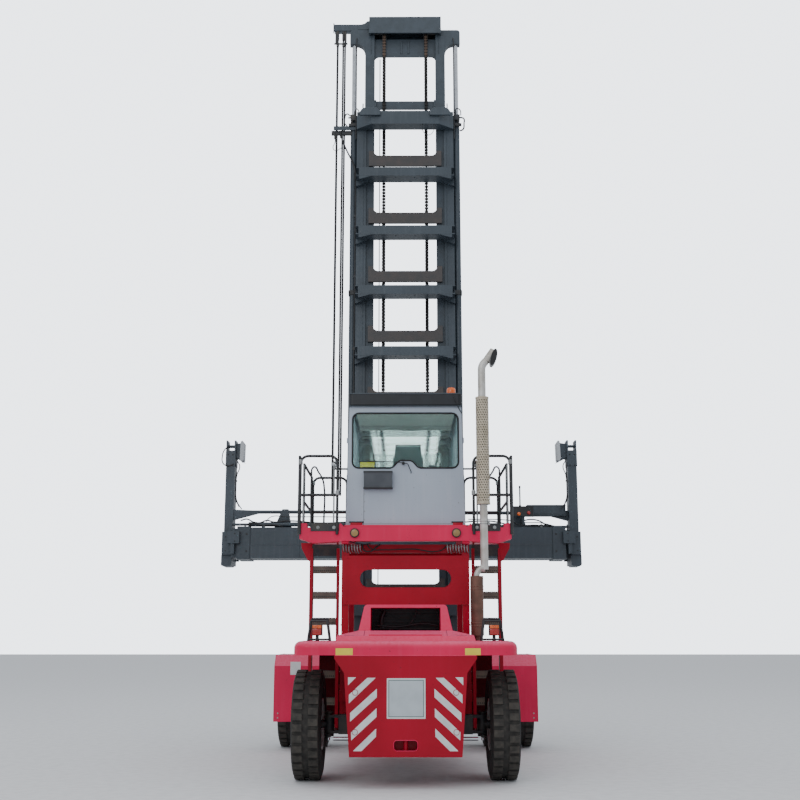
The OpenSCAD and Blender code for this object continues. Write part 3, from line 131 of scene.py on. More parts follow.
def skin(tree, colour, rough=None, height=None, depth=0, strength=0):
    """Feeds a material's colour, and its roughness and bump where they are given."""
    ends = tree.nodes["Principled BSDF"].inputs
    tree.links.new(colour, ends["Base Color"])
    if rough is not None:
        tree.links.new(rough, ends["Roughness"])
    if height is not None:
        grain = add(tree, "ShaderNodeBump", None, {"Height": height, "Distance": depth, "Strength": strength})
        tree.links.new(grain, ends["Normal"])


def enamel(name, base, deep, dust, chips, rough=0.38, dusty=0.4, coat=0.25, streaks=0.3, mirror=0.5):
    """Sprayed machine enamel: cloudy tone, rain streaks, small chips, dust on what faces up, orange peel."""
    material, tree, place = surface(name, {
        "Roughness": rough, "Specular IOR Level": mirror, "Coat Weight": coat, "Coat Roughness": 0.2})
    # Tone drifts over patches about 0.9 m across
    cloud = noise(tree, place, 1.1, 3)
    colour = blend(tree, ramp(tree, cloud, 0.35, 0.65), base, deep)
    # Rain streaks, 60 mm apart and about 1 m long
    upright = add(tree, "ShaderNodeMapping", None, {"Vector": place, "Scale": (1, 1, 0.06)})
    rain = noise(tree, upright, 16, 5)
    colour = blend(tree, ramp(tree, rain, 0.52, 0.78, 0, streaks), colour, dust)
    # Dust settles on faces that look up, broken into 35 mm patches
    normal = add(tree, "ShaderNodeNewGeometry", out="Normal")
    up = add(tree, "ShaderNodeSeparateXYZ", None, {0: normal}, out="Z")
    grit = noise(tree, place, 28, 6)
    settled = calc(tree, "MULTIPLY", ramp(tree, up, 0.25, 0.95, 0, dusty), ramp(tree, grit, 0.3, 0.7, 0.35, 1))
    colour = blend(tree, settled, colour, dust)
    # Chips down to primer, up to 12 mm across
    flecks = noise(tree, place, 45, 2)
    colour = blend(tree, ramp(tree, flecks, 0.73, 0.75), colour, chips)
    # Orange peel is about 2 mm across; it is drawn at 6 mm so that it shows
    peel = noise(tree, place, 160, 1)
    skin(tree, colour, ramp(tree, grit, 0.3, 0.7, rough - 0.06, rough + 0.16), peel, 0.0004, 0.25)
    return material


# Red two-pack enamel of the upright faces, darker than its copy painted paler as sunlight: saturated, half glossy
red_enamel = enamel("red machine enamel", "#a60026", "#94001e", "#a8405a", "#43181a", dusty=0.25, coat=0.05,
                    streaks=0.05, mirror=0.22)
# The same red painted paler and pinker as painted sunlight on the upper panels, with dust lying on it
red_painted_sunlit = enamel("red enamel painted paler as sunlight", "#dc1450", "#ca0e46", "#e07092", "#5e2c2a", dusty=0.7, coat=0.08,
                   streaks=0.08, mirror=0.3)
# The same red darkened with painted shade for the panels in the shade behind the wheels, and made rougher
red_painted_shade = enamel("red darkened as painted shade", "#5a000e", "#47000b", "#4c2422", "#2b1414", rough=0.6, coat=0,
                    mirror=0.15)
# Blue-grey mast enamel, satin, with light rain marks
slate_enamel = enamel("slate grey mast enamel", "#37424b", "#2f3941", "#656d74", "#4c4038", rough=0.45, dusty=0.3,
                      coat=0.1, streaks=0.16)
# Light grey cab enamel, cleaner and smoother than the chassis
cab_enamel = enamel("light grey cab enamel", "#a6b1bd", "#9ca8b5", "#bcc0c4", "#6f6f6f", rough=0.35, dusty=0.3)
# Pale grey enamel of the guide plates, scuffed and dull
pale_enamel = enamel("pale grey guide enamel", "#b9bdc0", "#a9aeb2", "#8f8a80", "#6d6a63", rough=0.45, dusty=0.3)


def coated(name, base, worn, rough=0.5, grain_mm=8, metallic=0, bump=0.0003, depth=0.3, **values):
    """Plain coated, cast or moulded stock: two close tones in hand-sized blotches, and a fine grain."""
    material, tree, place = surface(name, {
        "Roughness": rough, "Metallic": metallic, **{k.replace("_", " "): v for k, v in values.items()}})
    blotch = noise(tree, place, 7, 5)
    fine = noise(tree, place, 1000 / grain_mm, 2)
    skin(tree, blend(tree, ramp(tree, blotch, 0.4, 0.66), base, worn),
         ramp(tree, fine, 0.3, 0.7, rough - 0.07, rough + 0.1), fine, bump, depth)
    return material


# Powder coat on tube: near black, soft highlights
rail_black = coated("black powder-coated tube", "#15171a", "#2c2d2e", rough=0.42, grain_mm=3)
# The roof visor's dark slate paint, satin and even
visor_slate = coated("dark slate roof paint", "#0d1117", "#141920", rough=0.45, grain_mm=10)
# Black paint on sheet steel, a little chalky
black_steel = coated("black painted steel", "#1b1d20", "#2b2c2d", rough=0.5)
# Axle paint under road film and oil: blotchy and dull
axle_black = coated("oily black axle paint", "#22252a", "#3b3833", rough=0.55, grain_mm=12)
# Unpainted rolled bar gone brown-grey in the weather
bar_steel = coated("weathered brown-grey steel", "#3a3838", "#453e3b", rough=0.6, grain_mm=14)
# Wheel paint, pale and chalky
rim_enamel = coated("pale grey wheel enamel", "#c9cbcc", "#a8a6a2", rough=0.45)
# Tyre sidewall: black rubber with grey-brown dust
tyre_side = coated("dusty sidewall rubber", "#1f2021", "#343230", rough=0.82, grain_mm=9, bump=0.0009, depth=0.5)
# Hard chrome: mirror with a slight haze
chrome = coated("hard chromed rod", "#c9ccd0", "#b9bcbf", rough=0.14, grain_mm=2, metallic=1, bump=0.00005)
# Perforated shield, heat-tinted beige
shield_steel = coated("heat-tinted shield steel", "#c2b7a3", "#aca18c", rough=0.5, metallic=0.3, grain_mm=20)
# Muffler skin scaled by heat: brown, rough
rusty_steel = coated("scaled muffler rust", "#75564a", "#5c463c", rough=0.8, grain_mm=14, bump=0.001, depth=0.5)
# Woven glass lagging round the stack, sooty brown
lagging = coated("sooty glass lagging", "#1a1613", "#2a241f", rough=0.9, grain_mm=6, bump=0.001, depth=0.6)
# Chain plates in old grease: dark brown, wet glints
chain_steel = coated("oiled leaf chain steel", "#121314", "#26211d", rough=0.5, metallic=0.5, grain_mm=10)
# Hose cover: smooth black rubber
hose_rubber = coated("black hose rubber", "#141518", "#212225", rough=0.5, grain_mm=3)
# Thin steel lines zinc plated, grey
line_zinc = coated("zinc plated line and fastener", "#a0a2a2", "#7d7f7e", rough=0.4, grain_mm=3, metallic=0.8)
# Textured ABS, dark grey and matt
grey_plastic = coated("dark grey moulded plastic", "#3d4248", "#454a50", rough=0.55, grain_mm=3)
# Engine paint over a sandy casting skin
cast_iron = coated("engine casting paint", "#2b2e31", "#3b3a37", rough=0.6, grain_mm=10, bump=0.001)
# Seat cloth; its 1 mm weave is drawn at 4 mm so that it shows
seat_cloth = coated("woven seat cloth", "#4e595b", "#475254", rough=0.9, grain_mm=4, bump=0.0008, depth=0.6,
                    Sheen_Weight=0.3)
# Films, each with a cellular grain: reflective white, the plaque's pale grey and its dark line, yellow
white_film = coated("white reflective film", "#d2d6d6", "#c0c4c4", rough=0.4, grain_mm=5)
plaque_film = coated("blank pale grey plaque film", "#b5bec3", "#abb4b9", rough=0.35, grain_mm=5)
line_film = coated("dark green-grey line film", "#3c5450", "#465c58", rough=0.4, grain_mm=5)
yellow_film = coated("blank yellow label film", "#dcc840", "#d2bc38", rough=0.4, grain_mm=5)
# Woven roof lining, pale and matt
headliner_cloth = coated("pale roof lining", "#e4e8e2", "#d8dcd6", rough=0.95, grain_mm=4, bump=0.0006, depth=0.5)
# Lamp mouldings: clear-coated, with a fluted grain
bronze_lens = coated("dulled bronze lamp glass", "#9a7c44", "#77613a", rough=0.3, grain_mm=12, Coat_Weight=0.5)
orange_lens = coated("orange lamp moulding", "#ea6a1c", "#d65e16", rough=0.2, grain_mm=7, bump=0.001,
                     Coat_Weight=0.5)
red_lens = coated("red lamp moulding", "#b3201c", "#931a16", rough=0.2, grain_mm=7, bump=0.001, Coat_Weight=0.5)
# Window seal: black, matt
seal_rubber = coated("black window seal", "#101214", "#17191b", rough=0.6, grain_mm=3)
# Silvered glass, nearly a perfect mirror
mirror_glass = coated("silvered mirror glass", "#c8ccce", "#b8bcbe", rough=0.04, grain_mm=40, metallic=1,
                      bump=0.00002)


def tyre_finish(name, axle_y):
    """Worn tyre: lug faces brown-grey with ground-in dust, grooves and sidewalls near black."""
    material, tree, place = surface(name, {"Roughness": 0.85})
    # How far a point is from the wheel's axis
    offset = add(tree, "ShaderNodeMapping", None, {"Vector": place, "Scale": (0, 1, 1),
                                                   "Location": (0, -axle_y, -HUB_Z)})
    reach = add(tree, "ShaderNodeVectorMath", {"operation": "LENGTH"}, {0: offset}, out="Value")
    # Dust is ground in over patches the size of a lug, drawn at 60 mm
    dust = ramp(tree, noise(tree, place, 16, 6), 0.35, 0.68)
    low, high = (blend(tree, dust, *pair) for pair in (("#141415", "#2a2826"), ("#2e2c29", "#45413b")))
    skin(tree, blend(tree, ramp(tree, reach, 0.65, 0.678), low, high), None,
         noise(tree, place, 110, 2), 0.001, 0.5)
    return material


drive_rubber = tyre_finish("drive tyre rubber", DRIVE_Y)
steer_rubber = tyre_finish("steer tyre rubber", STEER_Y)


def cab_glass():
    """Laminated safety glass: greenish, with a film of dust."""
    material, tree, place = surface("greenish cab glass", {
        "Roughness": 0.03, "IOR": 1.45, "Transmission Weight": 1, "Alpha": 0.45})
    film = ramp(tree, noise(tree, place, 3.8, 5), 0.3, 0.75)
    skin(tree, blend(tree, film, "#a4cdc1", "#b6d6cb"), ramp(tree, film, 0, 1, 0.02, 0.1))
    return material


glass = cab_glass()


def zoned(name, ground, marks, box, values):
    """Two finishes on one CAD solid: the mark's tones inside a box given in metres, the ground's outside."""
    material, tree, place = surface(name, values)
    zone = 1
    for axis, (low, high) in zip("XYZ", box):
        along = add(tree, "ShaderNodeSeparateXYZ", None, {0: place}, out=axis)
        if axis == "X":
            along = calc(tree, "ABSOLUTE", along)
        inside = calc(tree, "MULTIPLY", calc(tree, "GREATER_THAN", along, low), calc(tree, "LESS_THAN", along, high))
        zone = calc(tree, "MULTIPLY", zone, inside)
    patch = ramp(tree, noise(tree, place, 6, 5), 0.38, 0.66)
    grit = noise(tree, place, 80, 3)
    skin(tree, blend(tree, zone, blend(tree, patch, *ground), blend(tree, patch, *marks)),
         ramp(tree, grit, 0.3, 0.7, 0.4, 0.65), grit, 0.0006, 0.3)
    return material


# The inner mast is slate enamel, its bars brown-grey weathered steel between the columns' rear faces
inner_finish = zoned("slate mast with weathered bars", ("#37424b", "#2f3941"), ("#3a3838", "#463e3b"),
                     ((0, 0.696), (2.18, 2.2385), (2.4, 11.2)), {"Coat Weight": 0.1})
# Ladder: red stringers, treads of muddy galvanised steel
ladder_finish = zoned("red ladder with muddy treads", ("#98001a", "#860014"), ("#4c423a", "#63584c"),
                      ((1.0095, 1.3505), (-1.36, -1.16), (0.4, 3)), {"Coat Weight": 0.1})
# Lift chains: oily black below, with a film of rust where they come off the head sheaves
chain_finish = zoned("oily leaf chain with rusty top", ("#101112", "#211d1a"), ("#5c4a3e", "#43362d"),
                     ((0.3, 0.5), (2, 2.7), (12.93, 13.4)), {"Metallic": 0.4})
# Exhaust: bright tube above, scaled muffler below
exhaust_finish = zoned("bright stack over scaled muffler", ("#c9c7c2", "#a9a49a"), ("#75564a", "#5c463c"),
                       ((0.8, 1.3), (-2.6, -2), (1.7, 2.602)), {"Metallic": 0.6})

finishes = {
    red_enamel: ["chassis_frame", "counterweight", "tow_pin", "side_tanks", "cab_support"],
    # The upper panels take the red painted paler as painted sunlight
    red_painted_sunlit: ["rear_deck", "engine_hood", "front_fenders", "cab_platform"],
    ladder_finish: ["ladders"],
    black_steel: ["hood_grille", "cab_mirrors"],
    visor_slate: ["cab_roof"],
    rail_black: ["handrails"],
    cast_iron: ["engine_block"],
    axle_black: ["drive_axle", "steer_axle", "prop_shaft", "knuckle_l", "knuckle_r", "mast_sheaves"],
    cab_enamel: ["cab_shell", "cab_door_l", "cab_door_r"],
    glass: ["cab_glass", "door_glass_l", "door_glass_r"],
    seat_cloth: ["seat"],
    grey_plastic: ["steering_column", "cab_rear_box"],
    exhaust_finish: ["exhaust_pipe"],
    shield_steel: ["exhaust_shield"],
    orange_lens: ["lamps"],
    drive_rubber: ["drive_tyres_l", "drive_tyres_r"],
    steer_rubber: ["steer_tyre_l", "steer_tyre_r"],
    rim_enamel: ["drive_rims_l", "drive_rims_r", "steer_rim_l", "steer_rim_r"],
    chrome: ["steer_rod", "tilt_rods", "lift_rods"],
    slate_enamel: ["outer_mast", "lift_barrels", "tilt_barrels", "carriage", "spreader_beam", "spreader_barrels",
                   "arm_l", "arm_r"],
    inner_finish: ["inner_mast"],
    chain_steel: ["lift_chains"],
    hose_rubber: ["mast_hoses"],
}
for material, names in finishes.items():
    for name in names:
        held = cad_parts[name].data.materials
        held.clear()
        held.append(material)


def pick(*pieces):
    """Selects pieces, the first of them active."""
    bpy.ops.object.select_all(action="DESELECT")
    for piece in pieces:
        piece.select_set(True)
    bpy.context.view_layer.objects.active = pieces[0]


def fresh(operator, **settings):
    """Runs an operator that adds one object, and gives that object."""
    operator(**settings)
    return bpy.context.active_object


def settle(piece):
    """Puts a piece's place, turn and size into its mesh, so that its object sits at the origin."""
    pick(piece)
    bpy.ops.object.transform_apply(location=True, rotation=True, scale=True)
    return piece


def edited(piece, *steps):
    """Runs mesh operators on the whole of a piece's mesh, then turns its faces outward."""
    pick(piece)
    bpy.ops.object.mode_set(mode="EDIT")
    bpy.ops.mesh.select_all(action="SELECT")
    for step in steps:
        step()
    bpy.ops.mesh.select_all(action="SELECT")
    bpy.ops.mesh.normals_make_consistent(inside=False)
    bpy.ops.object.mode_set(mode="OBJECT")
    return piece


def modified(piece, kind, **settings):
    """Puts one modifier on a piece and applies it."""
    pick(piece)
    change = piece.modifiers.new(kind, kind)
    for name, value in settings.items():
        setattr(change, name, value)
    bpy.ops.object.modifier_apply(modifier=change.name)
    return piece


def chamfer(piece, width, steps=1, angle=35):
    """Breaks the sharp edges of a piece, as folded, cast or ground metal has them."""
    return modified(piece, "BEVEL", width=width, segments=steps, limit_method="ANGLE",
                    angle_limit=math.radians(angle))


def bar(x, y, z, edge=0.003, steps=1):
    """Square stock between three ranges, edges broken."""
    piece = fresh(bpy.ops.mesh.primitive_cube_add, size=1, location=[(r[0] + r[1]) / 2 for r in (x, y, z)])
    piece.scale = [r[1] - r[0] for r in (x, y, z)]
    return chamfer(settle(piece), edge, steps)


def pin(start, end, radius, sides=20, edge=0.002):
    """Round stock from one point to another, its ends broken."""
    run = Vector(end) - Vector(start)
    piece = settle(fresh(bpy.ops.mesh.primitive_cylinder_add, vertices=sides, radius=radius, depth=run.length,
                         location=(Vector(start) + Vector(end)) / 2,
                         rotation=run.to_track_quat("Z", "Y").to_euler()))
    return chamfer(piece, edge) if edge else piece


def cut_plate(outline, across, low, high, edge=0.002):
    """Plate cut to an outline and extruded along the axis across it."""
    order = {"x": (2, 0, 1), "y": (0, 2, 1), "z": (0, 1, 2)}[across]
    piece = fresh(bpy.ops.mesh.primitive_circle_add, vertices=len(outline), fill_type="NGON")
    for vertex, (u, v) in zip(piece.data.vertices, outline):
        vertex.co = [(u, v, low)[i] for i in order]
    thick = {"value": [(0, 0, high - low)[i] for i in order]}
    edited(piece, lambda: bpy.ops.mesh.extrude_region_move(TRANSFORM_OT_translate=thick))
    return chamfer(piece, edge) if edge else piece


def turned(profile, middle, axis, sides=40):
    """Turned piece: a half profile (radius, along) spun round an axis through a point."""
    radii = [max(radius, 0.0005) for radius, along in profile]
    piece = fresh(bpy.ops.mesh.primitive_circle_add, vertices=sides, radius=radii[0])
    piece.data.transform(Matrix.Translation((0, 0, profile[0][1])))

    def draw_out():
        for i in range(1, len(profile)):
            grown = radii[i] / radii[i - 1]
            move = {"value": (0, 0, profile[i][1] - profile[i - 1][1])}
            bpy.ops.mesh.extrude_region_move(TRANSFORM_OT_translate=move)
            bpy.ops.transform.resize(value=(grown, grown, 1), center_override=(0, 0, profile[i][1]))
        bpy.ops.mesh.edge_face_add()
        bpy.ops.mesh.select_all(action="SELECT")
        bpy.ops.mesh.fill_holes(sides=0)

    edited(piece, draw_out)
    turn = {"X": Matrix.Rotation(math.pi / 2, 4, "Y"), "Y": Matrix.Rotation(-math.pi / 2, 4, "X"),
            "Z": Matrix.Identity(4)}[axis]
    piece.data.transform(Matrix.Translation(middle) @ turn)
    return piece


def cap(radius, wall, crown, high, tip, middle, axis):
    """Turned cap with an upright wall and a sloping crown."""
    return turned([(0, 0), (radius, 0), (radius, wall), (crown, high), (0, tip)], middle, axis)


def tube(points, radius, round_steps=3, straight=False):
    """Bent tube, hose or cable through points."""
    piece = fresh(bpy.ops.curve.primitive_bezier_curve_add)
    path = piece.data
    path.dimensions = "3D"
    path.bevel_depth = radius
    path.bevel_resolution = round_steps
    path.resolution_u = 1 if straight else 8
    path.use_fill_caps = True
    path.splines[0].bezier_points.add(len(points) - 2)
    for knot, point in zip(path.splines[0].bezier_points, points):
        knot.co = point
        knot.handle_left_type = knot.handle_right_type = "VECTOR" if straight else "AUTO"
    pick(piece)
    return fresh(bpy.ops.object.convert, target="MESH")


def bead(start, end, radius, round_steps=1):
    """Straight weld bead, seam or line."""
    return tube([start, end], radius, round_steps, straight=True)


def loop(points, radius):
    """Closed moulding round an opening, through points."""
    return edited(tube(list(points) + [points[0]], radius, 2, straight=True))


def ring(middle, radius, thick, axis="Z", sides=40):
    """Round wire or rib about an axis through a point."""
    turn = {"X": (0, math.pi / 2, 0), "Y": (math.pi / 2, 0, 0), "Z": (0, 0, 0)}[axis]
    return settle(fresh(bpy.ops.mesh.primitive_torus_add, location=middle, rotation=turn, major_radius=radius,
                        minor_radius=thick, major_segments=sides, minor_segments=10))


def joined(pieces):
    """Pieces made into one, named after the first."""
    pick(*pieces)
    if len(pieces) > 1:
        bpy.ops.object.join()
    return bpy.context.active_object


def twin_of(piece):
    """A second piece with its own mesh."""
    twin = piece.copy()
    twin.data = piece.data.copy()
    bpy.context.scene.collection.objects.link(twin)
    return twin


def flipped(piece):
    """Turns a piece into its mirror image across the middle plane."""
    piece.data.transform(Matrix.Scale(-1, 4, (1, 0, 0)))
    piece.data.flip_normals()
    return piece


def mirrored(*pieces):
    """Pieces and their mirror images across the middle plane, joined."""
    piece = joined(pieces)
    return joined([piece, flipped(twin_of(piece))])


def copied(piece, moves):
    """One piece repeated at each of the moves or turns, joined; the pattern piece goes."""
    made = []
    for move in moves:
        made.append(twin_of(piece))
        made[-1].data.transform(move if isinstance(move, Matrix) else Matrix.Translation(move))
    bpy.data.objects.remove(piece)
    return joined(made)


def rows(piece, count, step):
    """A regular row of one piece, a step apart."""
    return modified(piece, "ARRAY", count=count, use_relative_offset=False, use_constant_offset=True,
                    constant_offset_displace=step)


def around(piece, middle, axis, count):
    """One piece repeated round an axis, the whole turn."""
    centre = Matrix.Translation(middle)
    return copied(piece, [centre @ Matrix.Rotation(math.tau * i / count, 4, axis) @ centre.inverted()
                          for i in range(count)])


def done(name, material, slot, *pieces, body="chassis"):
    """Joins, names and finishes a piece, and makes it ride on its body."""
    piece = joined(pieces)
    bpy.ops.object.shade_smooth_by_angle(angle=math.radians(40))
    piece.name = name
    piece.data.name = name
    piece.data.materials.clear()
    piece.data.materials.append(material)
    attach(piece, body)
    return piece


def dress(body, name, material, slot, *pieces):
    """A finished piece of another body than the chassis."""
    return done(name, material, slot, *pieces, body=body)


def hex_bolts(places, axis, size=0.018, high=0.014):
    """Hexagon bolt heads on washers, standing out of a face along an axis at each place."""
    out = Vector(axis)
    washer = pin((0, 0, 0), out * high * 0.25, size * 0.95, 16, 0)
    head = pin(out * high * 0.2, out * high, size * 0.62, 6, size * 0.08)
    return copied(joined([head, washer]), places)


def span(middle, half):
    """The range about a middle."""
    return middle - half, middle + half


def corner_points(middle, radius, start, steps=4):
    """Points round a quarter corner from a start angle in degrees."""
    return [(middle[0] + radius * math.cos(math.radians(start + 90 * i / steps)),
             middle[1] + radius * math.sin(math.radians(start + 90 * i / steps))) for i in range(steps + 1)]


def soft_outline(u, v, radius, steps=4):
    """Outline of a rectangle with rounded corners, from two ranges."""
    points = []
    for x, y, start in ((u[1] - radius, v[1] - radius, 0), (u[0] + radius, v[1] - radius, 90),
                        (u[0] + radius, v[0] + radius, 180), (u[1] - radius, v[0] + radius, 270)):
        points += corner_points((x, y), radius, start, steps)
    return points


# Counterweight: white hazard bars, plugs of the lifting holes, blank plaque
hazard_bars = [
    [(-0.699, 1.3), (-0.603, 1.3), (-0.699, 1.205)],
    [(-0.465, 1.294), (-0.364, 1.294), (-0.687, 0.993), (-0.687, 1.093)],
    [(-0.349, 1.166), (-0.349, 1.065), (-0.671, 0.78), (-0.671, 0.881)],
    [(-0.352, 0.937), (-0.352, 0.836), (-0.655, 0.563), (-0.658, 0.658)],
    [(-0.355, 0.702), (-0.357, 0.607), (-0.531, 0.44), (-0.633, 0.44)],
]
done("hazard_bars", white_film, "red_paint",
     mirrored(*[cut_plate(o, "y", TAIL_Y - 0.0016, TAIL_Y + 0.001, 0.0005) for o in hazard_bars]))
plug = ring((0, TAIL_Y, 0), 0.033, 0.004, "Y", 28)
done("lifting_hole_plugs", red_enamel, "red_paint", mirrored(copied(plug, [(-0.612, 0, 1.121), (-0.612, 0, 0.658)])))
plaque_x, plaque_z = (-0.228, 0.24), (0.814, 1.289)
done("plaque_edge", white_film, "red_paint",
     cut_plate(soft_outline(plaque_x, plaque_z, 0.006, 2), "y", TAIL_Y - 0.002, TAIL_Y + 0.001, 0.0005))
for name, film, inset, stand in (("plaque_line", line_film, 0.02, 0.0028),
                                 ("plaque_field", plaque_film, 0.028, 0.0036)):
    x, z = ((low + inset, high - inset) for low, high in (plaque_x, plaque_z))
    done(name, film, "red_paint", bar(x, (TAIL_Y - stand, TAIL_Y), z, 0.0004))
# Weld bead under the deck and a painted highlight round the tow slot's rim, both in the red painted paler as sunlight
done("tail_weld_bead_and_slot_highlight", red_painted_sunlit, "red_paint",
     bead((-0.86, TAIL_Y - 0.001, 1.556), (0.86, TAIL_Y - 0.001, 1.556), 0.006, 3),
     loop([(x, TAIL_Y - 0.001, z) for x, z in soft_outline((-0.144, 0.144), (0.441, 0.564), 0.038)], 0.004))

# Rear deck: blank yellow labels on the lip, lifting slots on the slope as black plates of painted shade, raised ribs
# for grip
done("blank_deck_labels", yellow_film, "red_paint", *[
    bar(x, (TAIL_Y - 0.0014, TAIL_Y + 0.001), (1.563, 1.644), 0.0004) for x in ((-0.854, -0.645), (0.725, 0.916))])
slot_shade_plate = cut_plate(soft_outline((-0.065, 0.065), (-0.012, 0.012), 0.011, 3), "z", 1.7925, 1.7975, 0.001)
done("hood_lift_slot_shade", black_steel, "red_paint", copied(slot_shade_plate, [(-0.7, -3.59, 0), (0.7, -3.59, 0)]))


def grip_ribs(half_x, half_y, along, across, x, y, z):
    """Field of raised ribs on both sides, each row and column given by its count and pitch."""
    rib = rows(bar((-half_x, half_x), (-half_y, half_y), (0, 0.003), 0.001), along[0], (along[1], 0, 0))
    return mirrored(copied(rows(rib, across[0], (0, across[1], 0)), [(x, y, z)]))


# The deck ribs take the red painted paler as painted sunlight
done("deck_grip_ribs", red_painted_sunlit, "red_paint",
     grip_ribs(0.02, 0.004, (5, 0.075), (24, 0.055), 0.985, -3.35, DECK_TOP))

# Hood: seams of the lid and the cheeks, hinge knuckles, baffles and hoses in the outlet
HINGE_Y = -2.45
done("hood_seams", black_steel, "red_paint",
     *[bead((x, -3.6, 1.796), (x, -3.25, 1.861), 0.003) for x in (-0.52, 0.52)],
     *[bead((x, -3.105, HOOD_TOP - 0.03), (x, -1.76, HOOD_TOP - 0.03), 0.003) for x in (-0.541, 0.541)],
     bead((-0.49, HINGE_Y, HOOD_TOP + 0.0005), (0.49, HINGE_Y, HOOD_TOP + 0.0005), 0.004))
hinge = joined([pin((-0.035, HINGE_Y, HOOD_TOP + 0.006), (0.035, HINGE_Y, HOOD_TOP + 0.006), 0.008, 12),
                bar((-0.03, 0.03), (HINGE_Y - 0.05, HINGE_Y - 0.005), (HOOD_TOP, HOOD_TOP + 0.005), 0.001)])
done("hood_hinges", red_enamel, "red_paint", copied(hinge, [(x, 0, 0) for x in (-0.38, -0.12, 0.12, 0.38)]))
baffle = bar((-0.43, 0.43), (-0.004, 0.03), (0, 0.006), 0.001)
done("outlet_baffles", black_steel, "black_paint",
     copied(baffle, [(0, -2.76 + 0.03 * i, 1.89 + 0.045 * i) for i in range(5)]))
done("outlet_hoses", hose_rubber, "black_paint",
     tube([(-0.3, -2.72, 1.88), (-0.32, -2.7, 1.99), (-0.28, -2.71, 2.12)], 0.028),
     tube([(-0.2, -2.74, 1.885), (0.05, -2.73, 1.95), (0.12, -2.74, 2.05), (0.15, -2.73, 2.13)], 0.011),
     tube([(-0.4, -2.73, 1.93), (-0.1, -2.74, 1.915), (0.25, -2.73, 1.955), (0.42, -2.73, 1.93)], 0.016))

# Tail lamps in black housings, orange over red; they and the round lamps take the place of the CAD lamps
housings, orange_parts, red_parts, rings = [], [], [], []
for side in (-1, 1):
    low, high = sorted((side * 1.045, side * 1.17))
    housings.append(bar((low - 0.004, high + 0.004), (-3.586, -3.492), (1.797, 1.93), 0.006, 2))
    housings.append(bar(span(side * 1.105, 0.02), (-3.56, -3.52), (1.73, 1.799)))
    for parts, z in ((orange_parts, (1.884, 1.924)), (red_parts, (1.804, 1.88))):
        parts.append(bar((low + 0.006, high - 0.006), (-3.594, -3.58), z, 0.004, 2))
    rings += [ring(((low + high) / 2, -3.594, z), 0.014, 0.002, "Y", 20) for z in (1.845, 1.904)]
lamp_stand_in = done("tail_lamp_housings", black_steel, "lamp_plastic", *housings)
done("tail_lamp_indicators", orange_lens, "lamp_plastic", *orange_parts)
done("tail_lamp_lights", red_lens, "lamp_plastic", *red_parts)
done("tail_lamp_rings", red_lens, "lamp_plastic", *rings)
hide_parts("lamps")

# Round work lamps on the platform's rear beam: dark bodies, bronze glasses with rings
lamp_places = [(x, PLATFORM_Y, 3.22) for x in (-0.72, 0.72)]
for name, finish, part in (
        ("work_lamp_bodies", black_steel, turned([
            (0, 0), (0.06, 0), (0.065, -0.006), (0.065, -0.034), (0.06, -0.04), (0.055, -0.04), (0.052, -0.034),
            (0, -0.034)], (0, 0, 0), "Y")),
        ("work_lamp_glasses", bronze_lens, turned([
            (0, -0.03), (0.053, -0.03), (0.05, -0.037), (0.03, -0.041), (0, -0.042)], (0, 0, 0), "Y")),
        ("work_lamp_rings", bronze_lens, ring((0, -0.04, 0), 0.02, 0.003, "Y", 24))):
    done(name, finish, "lamp_plastic", copied(part, lamp_places))

# Beacon on the visor: dark foot, ribbed orange dome, and its cable down to the window's corner
beacon = (0.68, -1.59, 5.28)
done("beacon_foot", black_steel, "lamp_plastic",
     turned([(0, 0), (0.056, 0), (0.056, 0.012), (0.045, 0.03), (0, 0.03)], beacon, "Z"))
done("beacon_dome", orange_lens, "lamp_plastic",
     turned([(0, 0.028), (0.064, 0.028), (0.067, 0.036), (0.064, 0.1), (0.054, 0.118), (0.03, 0.126), (0, 0.127)],
            beacon, "Z"),
     *[ring((*beacon[:2], z), radius, 0.002) for z, radius in ((5.335, 0.066), (5.36, 0.065))])
done("beacon_cable", hose_rubber, "black_paint",
     tube([(0.7, -1.64, 5.29), (0.69, -1.76, 5.285), (0.7, -1.793, 5.25), (0.75, -1.792, 5.12),
           (0.8, -1.757, 5.03), (0.83, -1.757, 4.98)], 0.006))

# Platform: bolted feet of the rear hoops, hanging hose fittings under the beam, grip ribs on the wings
done("hoop_foot_plates", axle_black, "black_paint", *[
    bar(x, (PLATFORM_Y - 0.008, PLATFORM_Y), (3.247, 3.361), 0.002) for x in ((-1.345, -0.941), (0.941, 1.345))])
done("hoop_foot_bolts", line_zinc, "black_paint", hex_bolts(
    [(x, PLATFORM_Y - 0.008, 3.299) for x in (-1.241, -1.013, 1.013, 1.262)], BACK, 0.026, 0.016))
fitting = joined([pin((0, 0, 0), (0, 0, 0.05), 0.011, 12), pin((0, 0, 0.012), (0, 0, 0.032), 0.017, 6),
                  tube([(0, 0, 0.01), (0.004, 0.01, -0.03), (0.016, 0.05, -0.055), (0.02, 0.09, -0.05)], 0.009, 2)])
fitting_xs = [-0.89 + 0.04 * i for i in range(7)] + [0.6 + 0.04 * i for i in range(8)]
done("platform_hose_fittings", line_zinc, "black_paint",
     copied(fitting, [(x, -1.75, 3.03 - 0.008 * (i % 3)) for i, x in enumerate(fitting_xs)]))
